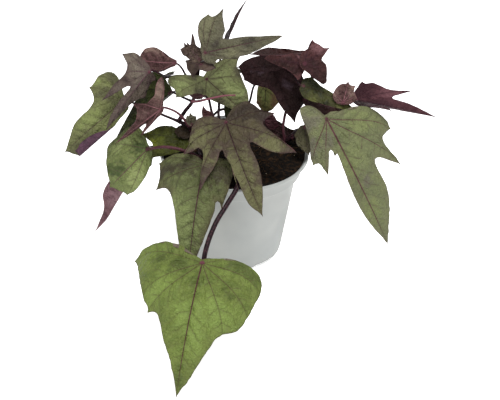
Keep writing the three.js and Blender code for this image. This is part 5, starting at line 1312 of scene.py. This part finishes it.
class Finish:
    """A material whose nodes are added and linked in one call each."""

    def __init__(self, name):
        self.material = bpy.data.materials.new(name)
        self.material.use_nodes = True
        self.tree = self.material.node_tree
        self.shader = self.tree.nodes["Principled BSDF"]

    def feed(self, socket, value):
        if isinstance(value, bpy.types.NodeSocket):
            self.tree.links.new(value, socket)
        else:
            socket.default_value = value

    def add(self, kind, inputs, **settings):
        node = self.tree.nodes.new("ShaderNode" + kind)
        for key, value in settings.items():
            setattr(node, key, value)
        for socket, value in inputs.items():
            self.feed(node.inputs[socket], value)
        return node

    def place(self):
        return self.add("TexCoord", {}).outputs["Object"]

    def mark(self, name, output="Fac"):
        return self.add("Attribute", {}, attribute_name=name).outputs[output]

    def noise(self, vector, scale, detail=3, rough=0.55):
        facts = {"Vector": vector, "Scale": scale, "Detail": detail, "Roughness": rough}
        return self.add("TexNoise", facts).outputs["Fac"]

    def cells(self, vector, scale):
        facts = {"Vector": vector, "Scale": scale}
        return self.add("TexVoronoi", facts, feature="DISTANCE_TO_EDGE").outputs["Distance"]

    def step(self, value, low, high, first=0, last=1):
        facts = {"Value": value, "From Min": low, "From Max": high, "To Min": first, "To Max": last}
        return self.add("MapRange", facts, interpolation_type="SMOOTHSTEP").outputs["Result"]

    def maths(self, operation, *values):
        return self.add("Math", dict(enumerate(values)), operation=operation).outputs[0]

    def times(self, first, second):
        return self.maths("MULTIPLY", first, second)

    def times_plus(self, value, factor, base):
        return self.maths("MULTIPLY_ADD", value, factor, base)

    def blend(self, share, first, second, mode="MIX"):
        facts = {0: share, 6: first, 7: second}
        return self.add("Mix", facts, data_type="RGBA", blend_type=mode).outputs[2]

    def bump(self, height, strength, distance):
        facts = {"Height": height, "Strength": strength, "Distance": distance}
        self.feed(self.shader.inputs["Normal"], self.add("Bump", facts).outputs["Normal"])

    def finish(self, **sockets):
        for name, value in sockets.items():
            self.feed(self.shader.inputs[name.replace("_", " ")], value)
        return self.material


class LeafFinish(Finish):
    """One face of a blade, drawn on the flat leaf with the marks that the mesh carries."""

    def __init__(self, name, look):
        super().__init__(name)
        self.look = look
        self.colours = {key: linear(value) for key, value in look.items() if isinstance(value, str)}
        self.flat = self.mark("flat", "Vector")
        self.rib, self.web = self.mark("rib"), self.mark("web")
        self.margin, self.stain_and_shade = self.mark("margin"), self.mark("stain_and_shade")
        self.broad = self.noise(self.flat, 0.07, 2)
        self.middling = self.noise(self.flat, 0.22, 3, 0.5)
        self.fine = self.noise(self.flat, 1.1, 3)
        self.net = self.cells(self.flat, 0.36)
        wander = self.times_plus(self.broad, 0.7, self.mark("phase"))
        self.between = self.maths("PINGPONG", wander, 0.5)

    def tint(self, colour, shade, share):
        return self.blend(share, colour, self.colours[shade])

    def mottled(self):
        """The blade between its veins, washed with colour from the edge inwards and stained, with painted
        shade and painted light in its dark and pale spots.
        """
        look = self.look
        patch = self.times_plus(self.between, 0.3, self.middling)
        colour = self.tint(self.colours["blade"], "patch", self.step(patch, 0.42, 0.78, 0, look["mottling"]))
        colour = self.tint(colour, "light", self.step(self.broad, 0.38, 0.7, 0, 0.6))
        reach = self.times_plus(self.middling, 14, self.margin)
        colour = self.tint(colour, "wash", self.step(reach, 5, 16, look["wash_amount"], 0))
        # Pale spots: partly paler tone, partly painted light and sheen.
        pale = self.times_plus(self.middling, -1.8, self.stain_and_shade)
        colour = self.tint(colour, "pale", self.step(pale, -1.75, -1, look["pale_and_lit_amount"], 0))
        # Dark spots: partly real staining, partly painted shade and shadow.
        ragged = self.times_plus(self.middling, 1.8, self.stain_and_shade)
        colour = self.tint(colour, "stain_and_shade", self.step(ragged, 1, 1.8, 0, look["stain_and_shade_amount"]))
        value = self.step(self.fine, 0.3, 0.7, 0.88, 1.09)
        shade = self.add("CombineColor", {0: value, 1: value, 2: value}).outputs[0]
        return self.blend(1, colour, shade, "MULTIPLY")

    def side_veined(self, colour):
        """A fine net of veins, and the side veins with painted shade beside them."""
        look = self.look
        colour = self.tint(colour, "vein", self.step(self.net, 0.02, 0.1, look["net"], 0))
        inside = self.times(self.web, self.step(self.margin, 1, 9))
        # Painted shade beside the side veins, where the swelling blade dips to them.
        beside = self.times(self.step(self.between, 0, 0.24, look["beside"], 0), inside)
        colour = self.tint(colour, "vein_shade", beside)
        vein = self.times(self.step(self.between, 0.005, 0.05, 1, 0), inside)
        vein = self.times(vein, self.step(self.middling, 0.35, 0.6, 0.25, 1))
        return self.tint(colour, "vein", self.times(vein, look["side_veins"]))

    def main_veined(self, colour):
        """The main veins in their creases, with painted shade along them that darkens near the joint, the
        margin, and the knot at the joint.
        """
        look = self.look
        spot = self.add("VectorMath", {0: self.flat, 1: (1, 1, 0)}, operation="MULTIPLY").outputs[0]
        middle = self.add("VectorMath", {0: spot}, operation="LENGTH").outputs["Value"]
        sideways = self.add("SeparateXYZ", {"Vector": self.flat}).outputs["X"]
        sideways = self.maths("DIVIDE", self.maths("ABSOLUTE", sideways), self.maths("ADD", middle, 1))
        # Painted shade along the main veins, stronger near the joint.
        near = self.step(middle, 3, 26, 1.8 * look["beside"], look["beside"])
        colour = self.tint(colour, "vein_shade", self.times(self.step(self.rib, 1, 9, 1, 0), near))
        strength = self.step(sideways, 0.06, 0.2, look["main_veins"], look["laterals"])
        vein = self.times(self.step(self.rib, 0.6, 1.3, 1, 0), strength)
        vein = self.times(vein, self.step(self.margin, 0, 8, 0.35, 1))
        colour = self.tint(colour, "vein", vein)
        colour = self.tint(colour, "margin", self.step(self.margin, 0.1, 0.8, look["edge"], 0))
        return self.tint(colour, "knot", self.step(middle, 0.7, 2.6, look["knot_amount"], 0))


def leaf_finish(name, look):
    """One face of a blade: its colours, its fine relief and its gloss."""
    face = LeafFinish(name, look)
    colour = face.main_veined(face.side_veined(face.mottled()))
    height = face.times_plus(face.fine, 0.2, face.step(face.net, 0, 0.3, 0, 0.3))
    height = face.times_plus(face.middling, 1.6, height)
    height = face.times_plus(face.between, face.times(face.web, 1.7), height)
    face.bump(height, 0.8, 0.0018)
    rough = face.step(face.fine, 0.25, 0.75, look["roughness"] - 0.06, look["roughness"] + 0.08)
    return face.finish(Base_Color=colour, Roughness=rough, Specular_IOR_Level=look["gloss"])


def stalk_finish(look):
    """Dark purple stems, paler and pinker where they are young, with fine streaks."""
    finish = Finish("stalk_skin")
    place = finish.place()
    young = finish.mark("young")
    streak = finish.noise(finish.add("Mapping", {"Vector": place, "Scale": (1, 1, 0.35)}).outputs[0], 900, 3)
    blush = finish.noise(place, 60, 3)
    share = finish.times_plus(blush, 0.5, finish.maths("SUBTRACT", young, 0.22))
    colour = finish.blend(finish.step(share, 0, 1), tuple(look.colour), tuple(look.young))
    colour = finish.blend(finish.step(streak, 0.45, 0.75, 0, 0.35), colour, tuple(look.young))
    finish.bump(streak, 0.3, 0.0003)
    rough = finish.step(streak, 0.3, 0.7, 0.35, 0.5)
    return finish.finish(Base_Color=colour, Roughness=rough, Specular_IOR_Level=0.1)


def pot_finish(look):
    """Pale moulded plastic with faint flow marks and a little soil dust under the lip."""
    finish = Finish("pot_plastic")
    place = finish.place()
    cloud = finish.noise(place, 22, 3)
    grain = finish.noise(place, 1600, 2)
    colour = finish.blend(finish.step(cloud, 0.3, 0.7), tuple(look.colour), tuple(look.shade))
    specks = finish.step(finish.noise(place, 420, 3, 0.7), 0.7, 0.78, 0, 0.35)
    height = finish.add("SeparateXYZ", {"Vector": place}).outputs["Z"]
    near_rim = finish.step(height, 0.07, 0.092)
    colour = finish.blend(finish.times(specks, near_rim), colour, linear(DUST))
    finish.bump(grain, 0.12, 0.0002)
    rough = finish.step(cloud, 0.3, 0.7, 0.42, 0.52)
    return finish.finish(Base_Color=colour, Roughness=rough, Specular_IOR_Level=0.4)


def soil_finish(name, dark, pale, scale):
    """Peat: near black, with browner crumbs."""
    finish = Finish(name)
    place = finish.place()
    crumb = finish.noise(place, scale, 4, 0.7)
    fine = finish.noise(place, scale * 5, 3, 0.7)
    colour = finish.blend(finish.step(crumb, 0.45, 0.8), dark, pale)
    colour = finish.blend(finish.step(fine, 0.6, 0.85, 0, 0.5), colour, pale)
    finish.bump(fine, 0.8, 0.0006)
    rough = finish.step(crumb, 0.3, 0.7, 0.85, 0.97)
    return finish.finish(Base_Color=colour, Roughness=rough, Specular_IOR_Level=0.08)


def floor_finish(look):
    """White paper that glows a little."""
    finish = Finish("floor_paper")
    tooth = finish.noise(finish.place(), 300, 2)
    finish.bump(tooth, 0.05, 0.0002)
    return finish.finish(
        Base_Color=finish.blend(tooth, tuple(look.floor), linear("fafafa")), Roughness=0.9,
        Specular_IOR_Level=0.1, Emission_Color=WHITE, Emission_Strength=FLOOR_GLOW,
    )


# --- Lights and camera ---


def light_sky():
    """Even white light from all round."""
    world = bpy.data.worlds.new("studio")
    world.use_nodes = True
    sky = world.node_tree.nodes["Background"].inputs
    sky["Color"].default_value = WHITE
    sky["Strength"].default_value = SKY_POWER
    bpy.context.scene.world = world


def hang_lamp(name, power, spot, width):
    """A square lamp that shines on the plant."""
    light = bpy.data.lights.new(name, "AREA")
    light.energy = power
    light.size = width
    lamp = bpy.data.objects.new(name, light)
    lamp.location = spot
    lamp.rotation_euler = (Vector(LAMP_TARGET) - Vector(spot)).to_track_quat("-Z", "Y").to_euler()
    bpy.context.scene.collection.objects.link(lamp)


def place_camera():
    """The camera, aimed at its target and rolled a little."""
    lens = bpy.data.cameras.new("camera")
    lens.lens = CAMERA_LENS
    lens.sensor_width = SENSOR_WIDTH
    camera = bpy.data.objects.new("camera", lens)
    forward = (Vector(CAMERA_TARGET) - Vector(CAMERA_PLACE)).normalized()
    turn = forward.to_track_quat("-Z", "Y").to_matrix().to_4x4()
    roll = Matrix.Rotation(math.radians(CAMERA_ROLL), 4, "Z")
    camera.matrix_world = Matrix.Translation(CAMERA_PLACE) @ turn @ roll
    bpy.context.scene.collection.objects.link(camera)
    bpy.context.scene.camera = camera


# --- Settings ---


def size(name, text, default, low, high):
    """A length in metres that a user would change."""
    return bpy.props.FloatProperty(
        name=name, description=text, default=default, min=low, max=high, unit="LENGTH", precision=4
    )


def amount(name, text, default, high, **unit):
    """A number from nought up that a user would change."""
    return bpy.props.FloatProperty(name=name, description=text, default=default, min=0, max=high, **unit)


def hue(name, text, code):
    """A colour that a user would change, given as a screen colour."""
    return bpy.props.FloatVectorProperty(
        name=name, description=text, default=linear(code), subtype="COLOR", size=4, min=0, max=1
    )


class LeafLook(bpy.types.PropertyGroup):
    thickness: size("Thickness", "Thickness of a blade", 0.00045, 0.0002, 0.0008)
    groove: amount("Vein groove", "How deep the main veins lie, in millimetres", 0.5, 1)
    quilting: amount("Quilting", "How far the blade swells between veins, in millimetres", 1.6, 2)


class StalkLook(bpy.types.PropertyGroup):
    colour: hue("Skin", "Colour of the old stems", "0e0509")
    young: hue("Young skin", "Colour of the young stems", "6b3f48")


class PotLook(bpy.types.PropertyGroup):
    radius: size("Rim radius", "Outer radius of the rim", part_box("pot")[1][0], 0.03, 0.1)
    height: size("Height", "Height of the rim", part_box("pot")[1][2], 0.04, 0.2)
    colour: hue("Plastic", "Colour of the plastic", "959794")
    shade: hue("Plastic clouding", "Colour of its faint clouding", "8c8f8d")


class SoilLook(bpy.types.PropertyGroup):
    colour: hue("Peat", "Colour of the damp peat", "080605")
    pale: hue("Crumbs", "Colour of its drier crumbs", "3a291a")
    crumb: size("Crumb size", "Length of a large crumb", 0.0021, 0.0005, 0.004)


class StageLook(bpy.types.PropertyGroup):
    floor: hue("Floor", "Colour of the floor", "ffffff")
    power: amount("Key light", "Power of the key light", 15, 200, unit="POWER")


# --- Operators ---


class VINE_OT_stage(bpy.types.Operator):
    """Set up the floor, the lights and the camera"""

    bl_idname = "vine.stage"
    bl_label = "Stage"

    def execute(self, context):
        look = context.scene.vine_stage
        context.scene.view_settings.view_transform = "Standard"
        bm = bmesh.new()
        bmesh.ops.create_circle(bm, cap_ends=True, radius=FLOOR_RADIUS, segments=96)
        finished_piece("floor", bm, [floor_finish(look)])
        light_sky()
        for name, share, spot, width in LAMPS:
            hang_lamp(name, look.power * share, spot, width)
        place_camera()
        return {"FINISHED"}


class VINE_OT_pot(bpy.types.Operator):
    """Turn the pot and mould its lip, collar and feet"""

    bl_idname = "vine.pot"
    bl_label = "Pot"

    def execute(self, context):
        look = context.scene.vine_pot
        bm = turned(pot_profile(), POT_STEPS)
        for vert in bm.verts:
            lift_foot(vert)
        wider, taller = look.radius / (RIM_RADIUS * MM), look.height / (RIM_HEIGHT * MM)
        grown = Matrix.Diagonal((wider, wider, taller, 1))
        bmesh.ops.transform(bm, matrix=grown, verts=bm.verts)
        ride_on_root(finished_piece("nursery_pot", bm, [pot_finish(look)], sharp=50), "pot", "pot")
        return {"FINISHED"}


class VINE_OT_soil(bpy.types.Operator):
    """Fill the pot with peat, with crumbs, fibres and pale grit on top"""

    bl_idname = "vine.soil"
    bl_label = "Soil"

    def execute(self, context):
        look = context.scene.vine_soil
        peat = soil_finish("peat", tuple(look.colour), tuple(look.pale), scale=300)
        bm = turned(soil_profile(), SOIL_STEPS)
        for vert in bm.verts:
            if vert.co.z > (SOIL_EDGE - 1) * MM:
                vert.co.z = soil_height(vert.co.x / MM, vert.co.y / MM) * MM
        ride_on_root(finished_piece("peat_bed", bm, [peat], sharp=80), "soil", "soil")
        draw = random.Random(SOIL_SEED)
        crumbs = scattered(draw, CRUMBS, rounds=1, longest=look.crumb / MM)
        ride_on_root(finished_piece("peat_crumbs", crumbs, [peat], sharp=80), "soil")
        grit = soil_finish("grit", linear("8a7f6a"), linear("c9c0ab"), scale=500)
        grains = scattered(draw, GRAINS, rounds=2, longest=GRAIN_SIZE)
        ride_on_root(finished_piece("soil_grit", grains, [grit], sharp=80), "soil")
        bark = soil_finish("bark_fibre", linear("2c1e12"), linear("544029"), scale=400)
        ride_on_root(finished_piece("bark_fibres", fibres(draw, FIBRES), [bark], sharp=80), "soil")
        return {"FINISHED"}


class VINE_OT_stalks(bpy.types.Operator):
    """Grow the stems, side shoots and leaf stalks"""

    bl_idname = "vine.stalks"
    bl_label = "Stems"

    def execute(self, context):
        skin = stalk_finish(context.scene.vine_stalk)
        leaves = {leaf["name"]: leaf for leaf in LEAVES}
        for name, vine in VINES.items():
            bm = bmesh.new()
            mark = bm.verts.layers.float.new("young")
            for i, stretch in enumerate(vine["stalks"]):
                thick = stretch["thick"]
                route = [] if i else [(*vine["foot"], HOLE_BOTTOM + HOLE_GAP)]
                route = route + stretch["route"]
                if stretch["leaf"]:
                    route = route + stalk_end(leaves[stretch["leaf"]], route[-1], thick[1])
                path = smooth_path(route)
                radii = stalk_radii(path, thick, 1 if i else 0)
                shades = stalk_shades(path, stretch["young"], stretch["blush"])
                grow_tube(bm, path, radii, STALK_SIDES, mark, shades)
            bmesh.ops.recalc_face_normals(bm, faces=bm.faces)
            ride_on_root(finished_piece(name + "_stems", bm, [skin], sharp=60), "stem", name)
        return {"FINISHED"}


class VINE_OT_leaves(bpy.types.Operator):
    """Lay out, bend and colour every leaf"""

    bl_idname = "vine.leaves"
    bl_label = "Leaves"

    def execute(self, context):
        look = context.scene.vine_leaf
        finishes = {}
        for leaf in LEAVES:
            for face in leaf["faces"]:
                if face not in finishes:
                    finishes[face] = leaf_finish(face, LOOKS[face])
            name = leaf["name"].replace("leaf_", "") + "_blade"
            bm = build_blade(leaf, look)
            piece = finished_piece(name, bm, [finishes[face] for face in leaf["faces"]], sharp=180)
            skin = piece.modifiers.new("thickness", "SOLIDIFY")
            skin.thickness = look.thickness
            skin.offset = 0
            skin.material_offset = 1
            ride_on_root(piece, leaf["slot"], leaf["name"])
        return {"FINISHED"}


class VINE_PT_panel(bpy.types.Panel):
    """The vine's settings and the steps that build it"""

    bl_label = "Sweet potato vine"
    bl_space_type = "VIEW_3D"
    bl_region_type = "UI"
    bl_category = "Vine"

    def draw(self, context):
        for group, step in STEPS:
            box = self.layout.box()
            look = getattr(context.scene, group)
            for prop in type(look).__annotations__:
                box.prop(look, prop)
            box.operator(step.bl_idname)


LOOK_GROUPS = {
    "vine_stage": StageLook,
    "vine_pot": PotLook,
    "vine_soil": SoilLook,
    "vine_stalk": StalkLook,
    "vine_leaf": LeafLook,
}
STEPS = (
    ("vine_stage", VINE_OT_stage),
    ("vine_pot", VINE_OT_pot),
    ("vine_soil", VINE_OT_soil),
    ("vine_stalk", VINE_OT_stalks),
    ("vine_leaf", VINE_OT_leaves),
)


def register():
    for name, group in LOOK_GROUPS.items():
        bpy.utils.register_class(group)
        setattr(bpy.types.Scene, name, bpy.props.PointerProperty(type=group))
    for _, step in STEPS:
        bpy.utils.register_class(step)
    bpy.utils.register_class(VINE_PT_panel)


def unregister():
    bpy.utils.unregister_class(VINE_PT_panel)
    for _, step in reversed(STEPS):
        bpy.utils.unregister_class(step)
    for name, group in reversed(LOOK_GROUPS.items()):
        delattr(bpy.types.Scene, name)
        bpy.utils.unregister_class(group)


def main():
    register()
    bpy.ops.vine.stage()
    bpy.ops.vine.pot()
    bpy.ops.vine.soil()
    bpy.ops.vine.stalks()
    bpy.ops.vine.leaves()


if __name__ == "__main__":
    main()
